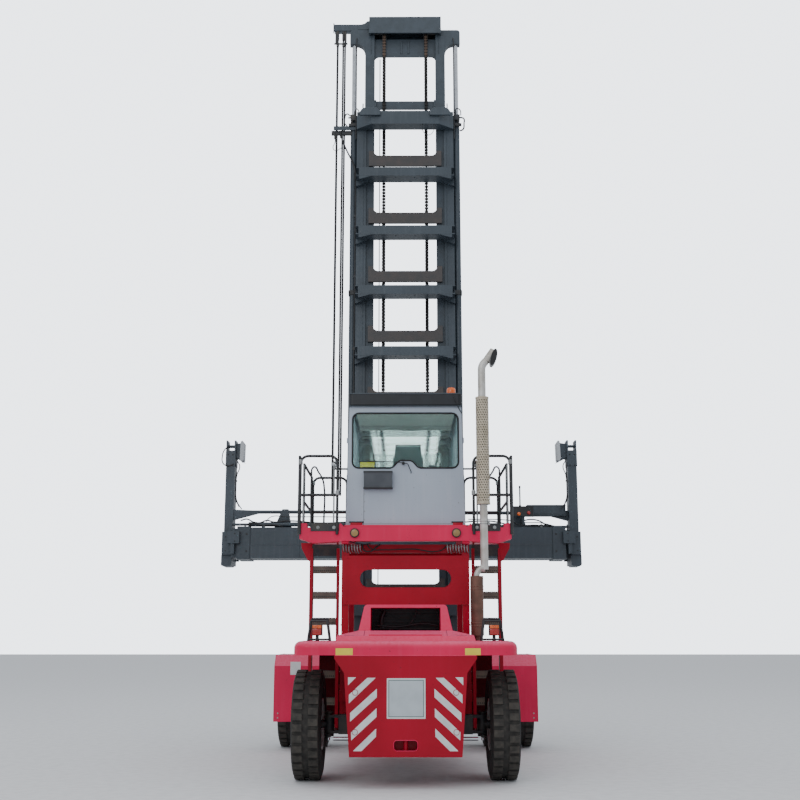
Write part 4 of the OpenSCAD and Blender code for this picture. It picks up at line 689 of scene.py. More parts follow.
done("platform_hoses", hose_rubber, "black_paint",
     tube([(-0.62, -1.73, 3.08), (-0.6, -1.74, 3), (-0.48, -1.75, 2.985), (-0.42, -1.74, 3.04), (-0.36, -1.73, 3.08)],
          0.012),
     tube([(-0.55, -1.73, 3.08), (-0.5, -1.74, 3.02), (-0.3, -1.75, 3), (0.1, -1.75, 3.01), (0.5, -1.73, 2.99),
           (0.62, -1.73, 3.08)], 0.01),
     tube([(-0.9, -1.76, 3.09), (-0.86, -1.77, 3.12), (-0.72, -1.77, 3.095), (-0.58, -1.77, 3.075),
           (-0.5, -1.75, 3.09)], 0.007))
# The walkway ribs take the red painted paler as painted sunlight
done("walkway_grip_ribs", red_painted_sunlit, "red_paint",
     grip_ribs(0.025, 0.005, (6, 0.085), (20, 0.065), 0.97, -1.16, 3.3))

# Rails: silver clamps with pointed caps where the hoops meet the side rails, and the light posts beside them
clamp = joined([pin((0, 0, -0.04), (0, 0, 0.02), 0.03, 20), pin((0, 0, 0.018), (0, 0, 0.03), 0.022, 16)])
done("rail_clamps", line_zinc, "black_paint",
     mirrored(copied(clamp, [(1.5, -1.97, 4.24), (0.97, -1.97, 3.8), (1.5, 0.27, 4.24)])))
done("rail_inner_posts", line_zinc, "black_paint", mirrored(copied(
    pin((0, 0, 0), (0, 0, 0.84), 0.012, 12), [(1.455, -1.945, 3.36), (1.02, -1.945, 3.36)])))
done("rail_inner_braces", rail_black, "black_paint", mirrored(tube(
    [(1.16, -1.93, 3.36), (1.165, -1.925, 3.9), (1.19, -1.925, 4), (1.25, -1.925, 4.1), (1.3, -1.925, 4.17),
     (1.335, -1.925, 4.15), (1.345, -1.93, 4.06), (1.345, -1.935, 3.36)], 0.013)))

# Cab: black moulding round each window, handles on the doors
hump = [(-0.22, 4.18), (-0.175, 4.2), (-0.115, 4.268), (-0.075, 4.29)]
hump += [(-x, z) for x, z in reversed(hump)]
rear_outline = (corner_points((0.68, 4.9), 0.09, 0) + corner_points((-0.68, 4.9), 0.09, 90)
                + corner_points((-0.68, 4.27), 0.09, 180) + hump + corner_points((0.68, 4.27), 0.09, 270))
mouldings = [loop([(x, CAB_Y - 0.002, z) for x, z in rear_outline], 0.013),
             loop([(x, CAB_FRONT_Y + 0.002, z) for x, z in soft_outline((-0.75, 0.75), (3.72, 4.99), 0.09)], 0.013)]


def wall_x(z):
    """Outer face of the cab's side wall at a height."""
    return 0.86 - 0.04 * (z - 3.34) / 1.77


def side_moulding(side, y, z, corner, radius):
    """Moulding round an opening in the cab's leaning side wall."""
    return loop([(side * (wall_x(v) + 0.001), u, v) for u, v in soft_outline(y, z, corner)], radius)


mouldings += [side_moulding(side, y, (3.98, 4.99), 0.06, 0.011)
              for y in ((-1.64, -1.22), (-0.47, 0.05)) for side in (-1, 1)]
done("window_mouldings", seal_rubber, "cab_paint", *mouldings)
for side, door in ((-1, "door_l"), (1, "door_r")):
    done(door + "_window_moulding", seal_rubber, "cab_paint",
         side_moulding(side, (-1.07, -0.61), (3.9, 4.92), 0.05, 0.01), body=door)
    wall = wall_x(3.78)
    done(door + "_handle", black_steel, "black_paint",
         tube([(side * (wall + out), -0.6, z) for out, z in (
             (-0.004, 3.7), (0.035, 3.705), (0.038, 3.79), (0.035, 3.875), (-0.004, 3.88))], 0.01),
         bar(sorted((side * (wall - 0.004), side * (wall + 0.01))), (-0.632, -0.568), (3.73, 3.85), 0.004, 2),
         body=door)

# Cab rear wall: seams with cap screws, drip edge and visor lip, foot pads, mount blocks
done("cab_panel_seams", seal_rubber, "cab_paint",
     bar((-0.6025, -0.5975), (CAB_Y - 0.001, CAB_Y + 0.002), (3.352, 3.86), 0.0005),
     bar((-0.855, 0.855), (CAB_Y - 0.0012, CAB_Y + 0.002), (3.368, 3.372), 0.0005))
done("cab_panel_screws", line_zinc, "cab_paint",
     hex_bolts([(-0.588, CAB_Y, z) for z in (3.43, 3.55, 3.69, 3.8)], BACK, 0.009, 0.006))
done("visor_drip_edge", slate_enamel, "black_paint",
     cut_plate([(-1.795, 5.096), (-1.748, 5.112), (-1.748, 5.092), (-1.79, 5.082)], "x", -0.832, 0.832, 0.001),
     bar((-0.832, 0.832), (-1.796, -1.786), (5.268, 5.284)))
done("cab_foot_pads", seal_rubber, "black_paint",
     bar((-0.6, 0.66), (CAB_Y - 0.006, CAB_Y), (3.318, 3.338), 0.002),
     *[bar(x, (CAB_Y - 0.01, CAB_Y), (3.385, 3.405)) for x in ((-0.81, -0.6), (0.66, 0.83))])
done("cab_mount_blocks", red_enamel, "red_paint", *[
    bar(x, (CAB_Y - 0.024, CAB_Y), (3.31, 3.386), 0.006, 2) for x in ((-0.79, -0.62), (0.68, 0.82))])
# Wiper with its hose, lids of the filter box, blank label inside the glass
done("rear_wiper", seal_rubber, "black_paint",
     tube([(-0.037, -1.79, 4.248), (-0.12, -1.8, 4.257), (-0.218, -1.8, 4.262), (-0.55, -1.795, 4.276)], 0.006, 2),
     bar((-0.675, -0.215), (-1.782, -1.772), (4.262, 4.274), 0.002),
     pin((-0.03, -1.795, 4.245), (-0.03, -1.748, 4.245), 0.022, 16),
     tube([(-0.02, -1.79, 4.245), (0.03, -1.79, 4.235), (0.055, -1.785, 4.18), (0.08, -1.765, 4.13),
           (0.082, -1.75, 4.1)], 0.006, 2))
done("filter_box_lid", black_steel, "grey_plastic", *[
    bar((-0.606, -0.184), (-1.846, -1.752), z) for z in ((4.104, 4.124), (3.868, 3.892))])
done("blank_window_label", yellow_film, "cab_glazing",
     bar((-0.659, -0.453), (-1.708, -1.7065), (4.196, 4.276), 0.0004))

# Mirrors: silvered discs in their black shells, on the cab's corner arms
done("mirror_glasses", mirror_glass, "black_paint",
     mirrored(turned([(0, 0), (0.044, 0), (0.044, -0.003), (0, -0.007)], (1.02, -1.763, 4.24), "Y")))

# Inside the cab: ceiling console and lining, dashboard with its screen, pedals, armrests
done("ceiling_console", grey_plastic, "grey_plastic",
     bar((-0.69, 0.69), (-0.25, -0.13), (4.985, 5.02), 0.01, 2),
     bar((-0.06, 0.2), (-0.3, -0.13), (4.93, 4.99), 0.012, 2),
     bar((0.34, 0.46), (-1.66, -1.6), (4.06, 4.24), 0.012, 2))
done("cab_headliner", headliner_cloth, "cab_paint", bar((-0.72, 0.72), (-1.66, -0.28), (4.996, 5.008), 0.005))
done("dashboard", grey_plastic, "grey_plastic",
     cut_plate([(-0.3, 3.96), (0.03, 3.96), (0.05, 4.06), (-0.05, 4.13), (-0.16, 4.1), (-0.32, 4.02)],
               "x", -0.55, 0.55, 0.012),
     bar((-0.14, 0.14), (-0.12, -0.09), (4.12, 4.27), 0.01, 2))
pedal = cut_plate([(-0.46, 3.42), (-0.4, 3.52), (-0.39, 3.515), (-0.45, 3.41)], "x", -0.04, 0.04, 0.003)
done("pedals", black_steel, "black_paint", copied(pedal, [(-0.2, 0, 0), (0.2, 0, 0)]))
armrest = bar((-0.035, 0.035), (-1.24, -0.9), (3.98, 4.04), 0.02, 3)
done("armrests", grey_plastic, "grey_plastic", copied(armrest, [(-0.3, 0, 0), (0.3, 0, 0)]))


def cushion(size, middle, lean, crown):
    """Upholstered block: swollen faces, soft edges and sides drawn in between the corners."""
    piece = edited(fresh(bpy.ops.mesh.primitive_cube_add, size=1), lambda: bpy.ops.mesh.subdivide(number_cuts=9))
    for vertex in piece.data.vertices:
        x, y, z = vertex.co
        swell = (1 - (2 * x) ** 2) * (1 - (2 * z) ** 2)
        waist = 1 - 0.05 * (1 - (2 * z) ** 2) * (2 * abs(x))
        seam = 0.1 * math.exp(-((abs(x) - 0.3) / 0.03) ** 2)
        vertex.co = (x * size[0] * waist, y * size[1] * (0.72 + crown * swell - seam), z * size[2])
    chamfer(piece, 0.035, 3, 50)
    modified(piece, "SUBSURF", levels=1, render_levels=1)
    piece.data.transform(Matrix.Translation(middle) @ Matrix.Rotation(math.radians(lean), 4, "X"))
    return piece


# Seat: padded cushion, and a back and a head rest that narrow upward, on a moulded frame
SEAT_X = 0.04
seat_pad = cushion((0.5, 0.16, 0.5), (SEAT_X, -1.02, 3.8), 84, 0.3)
seat_back = cushion((0.46, 0.15, 0.6), (SEAT_X, -1.3, 4.12), 8, 0.28)
head_pad = cushion((0.42, 0.13, 0.34), (SEAT_X, -1.345, 4.415), 8, 0.28)
for part, wide, narrow, bottom, top in ((seat_back, 1.08, 0.98, 3.84, 4.4), (head_pad, 1.15, 0.9, 4.25, 4.58)):
    for vertex in part.data.vertices:
        rise = (vertex.co.z - bottom) / (top - bottom)
        vertex.co.x = SEAT_X + (vertex.co.x - SEAT_X) * (wide + (narrow - wide) * rise)
for part, name in ((seat_pad, "seat_pad"), (seat_back, "seat_back"), (head_pad, "head_pad")):
    done(name, seat_cloth, "seat_fabric", part)
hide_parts("seat")
done("seat_frame", grey_plastic, "grey_plastic",
     bar(span(SEAT_X, 0.19), (-1.2, -0.84), (3.4, 3.66), 0.02, 2),
     bar(span(SEAT_X, 0.23), (-1.25, -0.8), (3.66, 3.73), 0.015, 2),
     bar(span(SEAT_X, 0.06), (-1.385, -1.36), (3.75, 4.55), 0.008, 2))

# Exhaust: perforated shield, rolled from a grid whose open cells become round holes, with a band at each end
pipe = (PIPE_X, EXHAUST_Y, 0)
shield = fresh(bpy.ops.mesh.primitive_grid_add, x_subdivisions=16, y_subdivisions=43, size=1)
for vertex in shield.data.vertices:
    rise = vertex.co.y + 0.5
    turn = math.tau * (vertex.co.x + 0.5 + rise * 43 / 32)
    vertex.co = (PIPE_X + SHIELD_R * math.sin(turn), EXHAUST_Y + SHIELD_R * math.cos(turn),
                 SHIELD_Z[0] + (SHIELD_Z[1] - SHIELD_Z[0]) * rise)
edited(shield, lambda: bpy.ops.mesh.remove_doubles(threshold=0.0005),
       lambda: bpy.ops.mesh.inset(use_individual=True, thickness=0.0062), lambda: bpy.ops.mesh.delete(type="FACE"))
modified(shield, "SUBSURF", levels=1, render_levels=1)
modified(shield, "SOLIDIFY", thickness=0.003)
band = turned([(0.0935, -0.012), (0.0955, -0.01), (0.0955, 0.01), (0.0935, 0.012), (0.089, 0.012), (0.089, -0.012)],
              pipe, "Z")
shield = done("perforated_shield", shield_steel, "shield_steel", shield, copied(band, [(0, 0, 3.602), (0, 0, 5.108)]))
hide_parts("exhaust_shield")
# Lagging inside the shield, standoffs between them, clamp at the elbow, muffler straps
done("stack_lagging", lagging, "pipe_steel", turned(
    [(0.055, 3.6), (0.072, 3.6), (0.074, 3.63), (0.073, 4.35), (0.074, 5.08), (0.072, 5.11), (0.055, 5.11),
     (0.055, 3.6)], pipe, "Z"))
standoff = bar((0.054, 0.087), (-0.008, 0.008), (-0.012, 0.012), 0.002)
done("shield_standoffs", shield_steel, "shield_steel",
     copied(around(standoff, (0, 0, 0), "Z", 3), [(PIPE_X, EXHAUST_Y, z) for z in (3.66, 4.35, 5.04)]))
done("stack_clamp", line_zinc, "pipe_steel",
     *[ring((PIPE_X, EXHAUST_Y, z), 0.057, thick) for z, thick in ((3.318, 0.006), (3.352, 0.004))],
     bar((PIPE_X + 0.055, PIPE_X + 0.085), span(EXHAUST_Y, 0.02), (3.3, 3.37)),
     pin((PIPE_X + 0.07, EXHAUST_Y - 0.035, 3.335), (PIPE_X + 0.07, EXHAUST_Y + 0.035, 3.335), 0.008, 12))
done("muffler_straps", rusty_steel, "pipe_steel",
     *[ring((0.98, EXHAUST_Y, z), 0.091, 0.005) for z in (1.93, 1.97, 2.42, 2.46)],
     *[bar((0.9, 0.98), (EXHAUST_Y + 0.088, EXHAUST_Y + 0.104), (z, z + 0.04)) for z in (1.93, 2.42)])


def scarf(length, width, low, high, edge):
    """Oval plate square across the stack's slanting mouth, its long way up the slant."""
    rim = [(length * math.cos(math.tau * i / 24), width * math.sin(math.tau * i / 24)) for i in range(24)]
    return cut_plate([(1.262 + 0.267 * u - 0.964 * v, 5.695 + 0.964 * u + 0.267 * v) for u, v in rim], "y", low, high,
                     edge)


# Scarfed mouth of the stack, sooty inside
done("stack_mouth_lip", line_zinc, "pipe_steel", scarf(0.136, 0.048, -2.304, -2.215, 0.006))
done("stack_mouth_soot", seal_rubber, "pipe_steel", scarf(0.126, 0.04, -2.307, -2.303, 0.001))

# Ladders: flanges and gussets, punched treads with raised teeth bolted to the stringers, and painted shade in the
# drain holes
done("ladder_flanges", red_enamel, "red_paint", mirrored(
    *[bar(x, (-1.36, -1.35), (0.52, 3.05), 0.002) for x in ((1.352, 1.4), (0.962, 1.008))],
    cut_plate([(1.53, 3.13), (1.52, 3.05), (1.43, 2.88), (1.4, 2.86), (1.36, 3.13)], "y", -1.362, -1.352)))
treads = [2.796 - 0.373 * i for i in range(7)]
# The drain holes are black discs of painted shade
hole = rows(pin((0, -1.3515, 0), (0, -1.348, 0), 0.009, 10, 0), 11, (0.029, 0, 0))
done("tread_hole_shade", seal_rubber, "red_paint", mirrored(copied(hole, [(1.035, 0, z - 0.07) for z in treads])))
tooth = rows(rows(pin((0, 0, 0), (0, 0, 0.006), 0.01, 8), 11, (0.029, 0, 0)), 4, (0, 0.042, 0))
done("tread_teeth", bar_steel, "red_paint", mirrored(copied(tooth, [(1.035, -1.325, z) for z in treads])))
done("tread_bolts", line_zinc, "red_paint", mirrored(
    hex_bolts([(1.37, y, z - 0.05) for z in treads for y in (-1.3, -1.23)], OUT, 0.013, 0.01)))
done("ladder_kick_plates", axle_black, "black_paint", mirrored(
    cut_plate([(0.97, 3.11), (1.53, 3.11), (1.39, 2.94), (0.97, 2.94)], "y", -1.349, -1.343, 0.001)))

# Mudguards: rolled edges, bolts, blank white plate on the left one
EDGE_X = 2.094
# The rolled edges take the red painted paler as painted sunlight
done("mudguard_rolled_edges", red_painted_sunlit, "red_paint", mirrored(tube(
    [(EDGE_X, y, z) for y, z in ((0.552, 0.48), (0.552, 1.33), (0.722, 1.499), (2.07, 1.499), (2.208, 1.41))],
    0.006, 2, True)))
done("blank_mudguard_plate", white_film, "red_paint",
     bar((-1.842, -1.679), (0.5485, 0.551), (1.192, 1.394), 0.0008))
done("mudguard_bolts", line_zinc, "red_paint", mirrored(
    hex_bolts([(x, 0.55, z) for x in (1.36, 1.7, 2.03) for z in (0.53, 0.6)], BACK, 0.013, 0.009)))

# Splash panels between the tanks and the mudguards, in red darkened as painted shade; tank straps, filler caps and
# bolts
done("splash_panels", red_painted_shade, "red_paint", mirrored(
    bar((0.925, 1.262), (-1.06, -1.052), (0.46, 1.52), 0.002),
    bead((1.255, -1.056, 0.47), (1.255, -1.056, 1.51), 0.007, 2)))
strap = joined([bar((0.93, 0.936), (-0.03, 0.03), (0.57, 1.39), 0.002),
                bar((0.45, 0.92), (-0.03, 0.03), (1.4, 1.406), 0.002)])
done("tank_straps", axle_black, "black_paint", mirrored(copied(strap, [(0, y, 0) for y in (-1.35, -0.82, -0.28)])))
done("tank_filler_caps", line_zinc, "black_paint", mirrored(turned(
    [(0, 0), (0.062, 0), (0.064, 0.012), (0.058, 0.016), (0.056, 0.045), (0.05, 0.052), (0, 0.054)],
    (0.66, -0.55, 1.4), "Z")))
done("tank_bolts", line_zinc, "red_paint", mirrored(
    hex_bolts([(0.93, y, z) for y in (-1.46, -1.1, -0.6, -0.12) for z in (0.66, 1.3)], OUT, 0.014, 0.01)))
# Bolts of the cab's posts, and the edge of the slot in the panel between them
done("post_bolts", red_enamel, "red_paint", mirrored(
    hex_bolts([(0.91, y, z) for y in (-1.65, 0.05) for z in (1.15, 1.55, 1.95)], OUT, 0.016, 0.012),
    hex_bolts([(x, -1.72, z) for x in (0.83, 0.89) for z in (2.27, 2.88)], BACK, 0.012, 0.009)))
done("panel_slot_edge", red_enamel, "red_paint",
     loop([(x, -1.721, z) for x, z in soft_outline((-0.652, 0.652), (2.468, 2.722), 0.124, 8)], 0.004))

# Lines from the engine bay up to the tilt cylinders and the mast foot
done("tilt_feed_hoses", hose_rubber, "black_paint", mirrored(
    tube([(0.3, 0.3, 1), (0.46, 0.42, 1.1), (0.6, 0.55, 1.3), (0.63, 0.8, 1.52), (0.62, 1, 1.64)], 0.013),
    tube([(0.26, 0.32, 1), (0.4, 0.5, 1.16), (0.43, 0.7, 1.36), (0.42, 0.92, 1.52)], 0.013)))


def wheel_nuts(x, y, radius, count, size):
    """Nuts on their studs, in a circle round a wheel's axis."""
    at = HUB_Z + radius
    stud = joined([pin((x, y, at), (x + 0.016, y, at), size, 6),
                   pin((x, y, at), (x + 0.026, y, at), size * 0.55, 10, 0.001)])
    return around(stud, (x, y, HUB_Z), "X", count)


def wheel_dress(side, wheel, *parts):
    """Nuts, hub cap and valve of a wheel; they are built for the right side and turned over for the left."""
    piece = joined(parts)
    done(wheel + "_nuts", line_zinc, "rim_paint", flipped(piece) if side < 0 else piece, body=wheel)


def sidewall_rings(x, y):
    """Moulded rings on both sidewalls of a tyre, beside the bead and under the shoulder."""
    return [ring((x + side * out, y, HUB_Z), radius, 0.004, "X", 64) for side in (-1, 1)
            for out, radius in ((0.1705, 0.385), (0.1855, 0.46), (0.1855, 0.52), (0.1765, 0.61))]


# Wheels: nuts on studs, hub caps, valves, sidewall ribs
for side, end in ((-1, "l"), (1, "r")):
    wheel_dress(side, "drive_wheels_" + end, wheel_nuts(1.9325, DRIVE_Y, 0.162, 12, 0.015),
                wheel_nuts(1.71, DRIVE_Y, 0.242, 16, 0.016),
                cap(0.105, 0.01, 0.07, 0.022, 0.026, (1.972, DRIVE_Y, HUB_Z), "X"),
                wheel_nuts(1.972, DRIVE_Y, 0.118, 8, 0.008))
    wheel_dress(side, "steer_wheel_" + end, wheel_nuts(1.32, STEER_Y, 0.17, 12, 0.015),
                wheel_nuts(1.357, STEER_Y, 0.094, 8, 0.007),
                cap(0.07, 0.012, 0.045, 0.022, 0.024, (1.38, STEER_Y, HUB_Z), "X"),
                tube([(x, STEER_Y + 0.05, HUB_Z + z) for x, z in ((1.33, 0.27), (1.36, 0.255), (1.39, 0.23))],
                     0.006, 2))
for side, end in ((-1, "l"), (1, "r")):
    done("drive_sidewall_rings_" + end, tyre_side, "tyre_rubber", *sidewall_rings(side * 1.4675, DRIVE_Y),
         *sidewall_rings(side * 1.9125, DRIVE_Y), body="drive_wheels_" + end)
    done("steer_sidewall_rings_" + end, tyre_side, "tyre_rubber", *sidewall_rings(side * 1.245, STEER_Y),
         body="steer_wheel_" + end)

# Steer axle: grease caps over the king pins, hoses
done("steer_axle_fittings", axle_black, "axle_paint", mirrored(
    cap(0.052, 0.02, 0.03, 0.032, 0.034, (0.985, STEER_Y, 0.8176), "Z"),
    tube([(0.28, -2.98, 0.53), (0.26, -2.92, 0.56), (0.2, -2.8, 0.72), (0.16, -2.7, 0.86)], 0.01, 2)))


def link_at(y, z):
    """One link of a lift chain: a pack of wide oval plates with a narrow waist between its neighbours."""
    turns = [math.tau * i / 8 for i in range(8)]
    wide = cut_plate([(y + 0.02 * math.cos(a), z + 0.0245 * math.sin(a)) for a in turns], "x", -0.031, 0.031, 0)
    return joined([wide, bar((-0.011, 0.011), span(y, 0.014), span(z, 0.0315), 0.002)])


# Lift chains: packs of oval plates on pins, up one side, over the head sheaves and down the other
hub = Matrix.Translation((0, (CHAIN_BACK_Y + CHAIN_FRONT_Y) / 2, SHEAVE_Z))
chains = joined([
    rows(link_at(CHAIN_BACK_Y, 4.1), 150, (0, 0, CHAIN_PITCH)),
    rows(link_at(CHAIN_FRONT_Y, 3.71), 156, (0, 0, CHAIN_PITCH)),
    copied(link_at(CHAIN_BACK_Y, SHEAVE_Z),
           [hub @ Matrix.Rotation(math.radians(-25.7 * i), 4, "X") @ hub.inverted() for i in range(8)])])
chains.data.transform(Matrix.Translation((CHAIN_X, 0, 0)))
chains = done("leaf_chains", chain_finish, "chain_steel", mirrored(chains), body="raised_mast")
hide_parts("lift_chains")


# Inner mast: hose drop from the head arm with its clamps, and the arm's beam
hose_runs = ((-1.325, 0.022), (-1.217, 0.018), (-1.178, 0.018))
hoses = dress("raised_mast", "mast_hose_runs", hose_rubber, "hose_rubber", *[
    tube([(x, HOSE_Y, z) for z in (13.44, 9, 4.28)], radius, 3, True) for x, radius in hose_runs])
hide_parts("mast_hoses")
dress("raised_mast", "hose_head_clamps", axle_black, "black_paint",
      *[bar(span(x, 0.022), (2.262, 2.312), (13.232, 13.46), 0.004) for x in (-1.352, -1.172)],
      bar((-1.395, -1.13), (2.268, 2.306), (13.214, 13.238), 0.004),
      *[pin((x, HOSE_Y, low), (x, HOSE_Y, high), radius + wall, 14)
        for low, high, wall in ((13.3, 13.49, 0.007), (13.16, 13.215, 0.006)) for x, radius in hose_runs])
dress("raised_mast", "hose_arm_beam", slate_enamel, "slate_paint",
      bar((-1.402, -0.74), (2.268, 2.312), (13.498, 13.64), 0.006),
      cut_plate([(-0.93, 13.62), (-0.8, 13.655), (-0.745, 13.705), (-0.7, 13.712), (-0.7, 13.52), (-0.93, 13.52)],
                "y", 2.262, 2.318, 0.004),
      bar((-1.416, -1.396), (2.26, 2.32), (13.47, 13.662), 0.004))
# Lines down the lift rods, thin feed line, bolts and shaft caps of the head, weld beads, stiffeners
dress("raised_mast", "lift_rod_lines", hose_rubber, "black_paint", mirrored(tube(
    [(0.945, y, z) for y, z in ((2.246, 13.3), (2.2, 13.295), (2.172, 13.25), (2.17, 12.2), (2.17, 11.15))], 0.011)))
dress("raised_mast", "feed_line", line_zinc, "pipe_steel",
      tube([(-0.493, 2.4, z) for z in (12.95, 8, 2.6)], 0.009, 2, True))
shaft = (0.705, 2.398, SHEAVE_Z)
dress("raised_mast", "inner_mast_bolts", slate_enamel, "slate_paint", mirrored(
    hex_bolts([(0.58, 2.245, z) for z in (11.87, 11.965)], BACK, 0.013, 0.01),
    cap(0.062, 0.014, 0.045, 0.02, 0.022, shaft, "X"),
    hex_bolts([(shaft[0], shaft[1] + 0.085 * math.cos(a), shaft[2] + 0.085 * math.sin(a))
               for a in (0.8, 2.35, 3.93, 5.5)], OUT, 0.011, 0.01),
    hex_bolts([(LIFT_X, LIFT_Y, 13.5)], UP, 0.034, 0.026)))
dress("raised_mast", "head_box_welds", slate_enamel, "slate_paint",
      *[bead((x, 2.229, 13.37), (x, 2.229, 12.98), 0.004) for x in (-0.66, 0.66)],
      bead((-0.7, 2.129, 13.374), (0.7, 2.129, 13.374), 0.004))
dress("raised_mast", "head_plate_stiffeners", slate_enamel, "slate_paint", mirrored(
    bead((0.3, 2.34, 13.3), (0.3, 2.34, 12.96), 0.007), bar((0.05, 0.09), (2.3, 2.309), (13.02, 13.3))))

# Outer mast: weld beads beside the lips and along the beams, roller pin caps, bolts
dress("mast", "column_weld_beads", slate_enamel, "slate_paint",
      mirrored(bead((0.793, 2.198, 0.32), (0.793, 2.198, 11.32), 0.0035)))
dress("mast", "beam_weld_beads", slate_enamel, "slate_paint", *[
    bead((-0.865, 1.849, top - 0.169), (0.865, 1.849, top - 0.169), 0.0035) for top in BEAM_TOPS])
dress("mast", "outer_mast_bolts", slate_enamel, "slate_paint", mirrored(
    cap(0.058, 0.016, 0.04, 0.022, 0.022, (0.93, 2.4, 11.43), "X"),
    hex_bolts([(0.93, y, 0.46) for y in (2.26, 2.52)], OUT),
    hex_bolts([(x, 1.955, top - 0.17) for top in BEAM_TOPS[:5] for x in (0.18, 0.8)], DOWN, 0.012, 0.01)))
# Clamps round the lift barrels, cheeks and studs on the mast's top, collars round the rods
clamp = joined([*[bar((0.924, 1.064), y, span(0, 0.045), 0.006) for y in ((2.246, 2.27), (2.37, 2.394))],
                bar((1.05, 1.066), (2.25, 2.39), span(0, 0.045), 0.006),
                pin((1.045, 2.225, 0), (1.045, 2.247, 0), 0.012, 6)])
dress("mast", "barrel_clamps", black_steel, "black_paint", mirrored(copied(clamp, [(0, 0, 8.1), (0, 0, 4.6)])))
dress("mast", "mast_top_cheeks", slate_enamel, "slate_paint", mirrored(cut_plate(
    [(0.467, 11.59), (0.545, 11.652), (0.76, 11.66), (0.83, 11.62), (0.866, 11.56), (0.866, 11.5), (0.467, 11.5)],
    "y", 1.853, 1.9, 0.004)))
dress("mast", "mast_top_studs", axle_black, "black_paint", mirrored(
    pin((0.818, 2.214, 11.725), (0.814, 2.214, 11.91), 0.012, 10),
    turned([(0.044, 0), (0.06, 0), (0.0615, 0.01), (0.058, 0.034), (0.044, 0.036), (0.044, 0)],
           (LIFT_X, LIFT_Y, 11.67), "Z")))
# Valves on the barrels' heads, hose loops round them, the long hose down the left column and its clips
VALVE_Y = 2.222
dress("mast", "lift_valves", axle_black, "black_paint", mirrored(
    bar((0.938, 1.058), (2.196, 2.25), (11.56, 11.68), 0.008, 2),
    pin((0.97, VALVE_Y, 11.67), (0.97, VALVE_Y, 11.75), 0.02, 6),
    pin((1.03, VALVE_Y, 11.5), (1.03, VALVE_Y, 11.57), 0.024, 12),
    pin((1.05, VALVE_Y, 11.62), (1.1, VALVE_Y, 11.62), 0.018, 6),
    bar((0.95, 1.09), (2.205, 2.24), (11.44, 11.5), 0.006, 2)))
dress("mast", "mast_top_hoses", hose_rubber, "black_paint",
      tube([(-1.06, 2.225, 11.66), (-1.13, 2.225, 11.7), (-1.165, 2.23, 11.62), (-1.17, 2.235, 11.52),
            (-1.12, 2.235, 11.45)], 0.012),
      tube([(-0.97, VALVE_Y, 11.74), (-0.94, 2.215, 11.8), (-0.9, 2.21, 11.76), (-0.89, 2.2, 11.64)], 0.01),
      tube([(1.09, 2.225, 11.62), (1.135, 2.225, 11.6), (1.14, 2.23, 11.5), (1.12, 2.235, 11.38),
            (1.06, 2.235, 11.35)], 0.015),
      tube([(0.97, VALVE_Y, 11.74), (1, 2.21, 11.8), (1.06, 2.2, 11.77), (1.08, 2.21, 11.66)], 0.011),
      tube([(0.33, 1.93, 11.35), (0.34, 1.925, 11.2), (0.44, 1.92, 11.115), (0.54, 1.925, 11.2),
            (0.555, 1.93, 11.35)], 0.006, 2),
      tube([(-1.355, 2.27, 11.36), (-1.356, 2.26, 11.12), (-1.389, 2.255, 11.01), (-1.337, 2.25, 10.95),
            (-1.26, 2.255, 10.99), (-1.217, 2.26, 11.02)], 0.007, 2),
      tube([(-1.25, 2.255, 11.36), (-1.235, 2.25, 11.25), (-1.183, 2.248, 11.09), (-1.1, 2.246, 10.9),
            (-1.042, 2.244, 10.78), (-0.975, 2.242, 10.62), (-0.955, 2.225, 10.45), (-0.952, 2.215, 6),
            (-0.952, 2.215, 2.2)], 0.016))
dress("mast", "hose_bracket_clamps", axle_black, "black_paint",
      bar((-1.425, -0.94), (2.262, 2.316), (11.285, 11.372), 0.006),
      pin((-1.355, 2.27, 11.2), (-1.355, 2.27, 11.33), 0.02, 12),
      pin((-1.24, 2.255, 11.22), (-1.245, 2.262, 11.33), 0.02, 12))
clip = bar((-0.975, -0.93), (2.196, 2.232), span(0, 0.025), 0.004)
dress("mast", "mast_hose_clips", axle_black, "black_paint",
      copied(clip, [(0, 0, z) for z in (9.6, 8.4, 7, 5.6, 4.2)]))

# Tilt cylinders: ports at both ends of the barrels and the hose between them
foot, head = Vector((0.52, 0.48, 1.25)), Vector((0.52, 1.98, 2.3))
along = (head - foot).normalized()
above = Vector((0, -along.z, along.y))
port, far_port = foot + along * 0.22 + above * 0.075, foot + along * 1.215 + above * 0.085
dress("tilt_cylinders", "tilt_ports", axle_black, "black_paint", mirrored(
    *[pin(p, p + above * 0.05, 0.022, 12) for p in (port, far_port)],
    tube([port + above * 0.04, port + Vector((0, -0.02, 0.1)), (port + far_port) / 2 + Vector((0, -0.04, 0.075)),
          far_port + above * 0.04], 0.011)))

# Haunches: the beams' rear flanges get deeper toward the columns
haunch = cut_plate([(0.6, 0.004), (0.868, 0.004), (0.868, -0.062), (0.835, -0.062)], "y", 1.8485, 1.862)
dress("mast", "beam_haunches", slate_enamel, "slate_paint",
      mirrored(copied(haunch, [(0, 0, top - 0.17) for top in BEAM_TOPS])))

# Carriage: bolts along its bars, caps of the shaft carriers
dress("lift_carriage", "carriage_bolts", slate_enamel, "slate_paint", mirrored(
    hex_bolts([(x, 2.66, z + d) for x in (0.62, 0.8, 0.95) for z in (3.33, 4.38) for d in (-0.075, 0.075)],
              FORE, 0.016, 0.012),
    hex_bolts([(x, 2.66, 4.93) for x in (0.12, 0.36)], FORE),
    *[turned([(0, 0), (0.045, 0), (0.045, 0.012), (0, 0.016)], (1.04, 2.85, z), "X") for z in (3.33, 4.38)]))

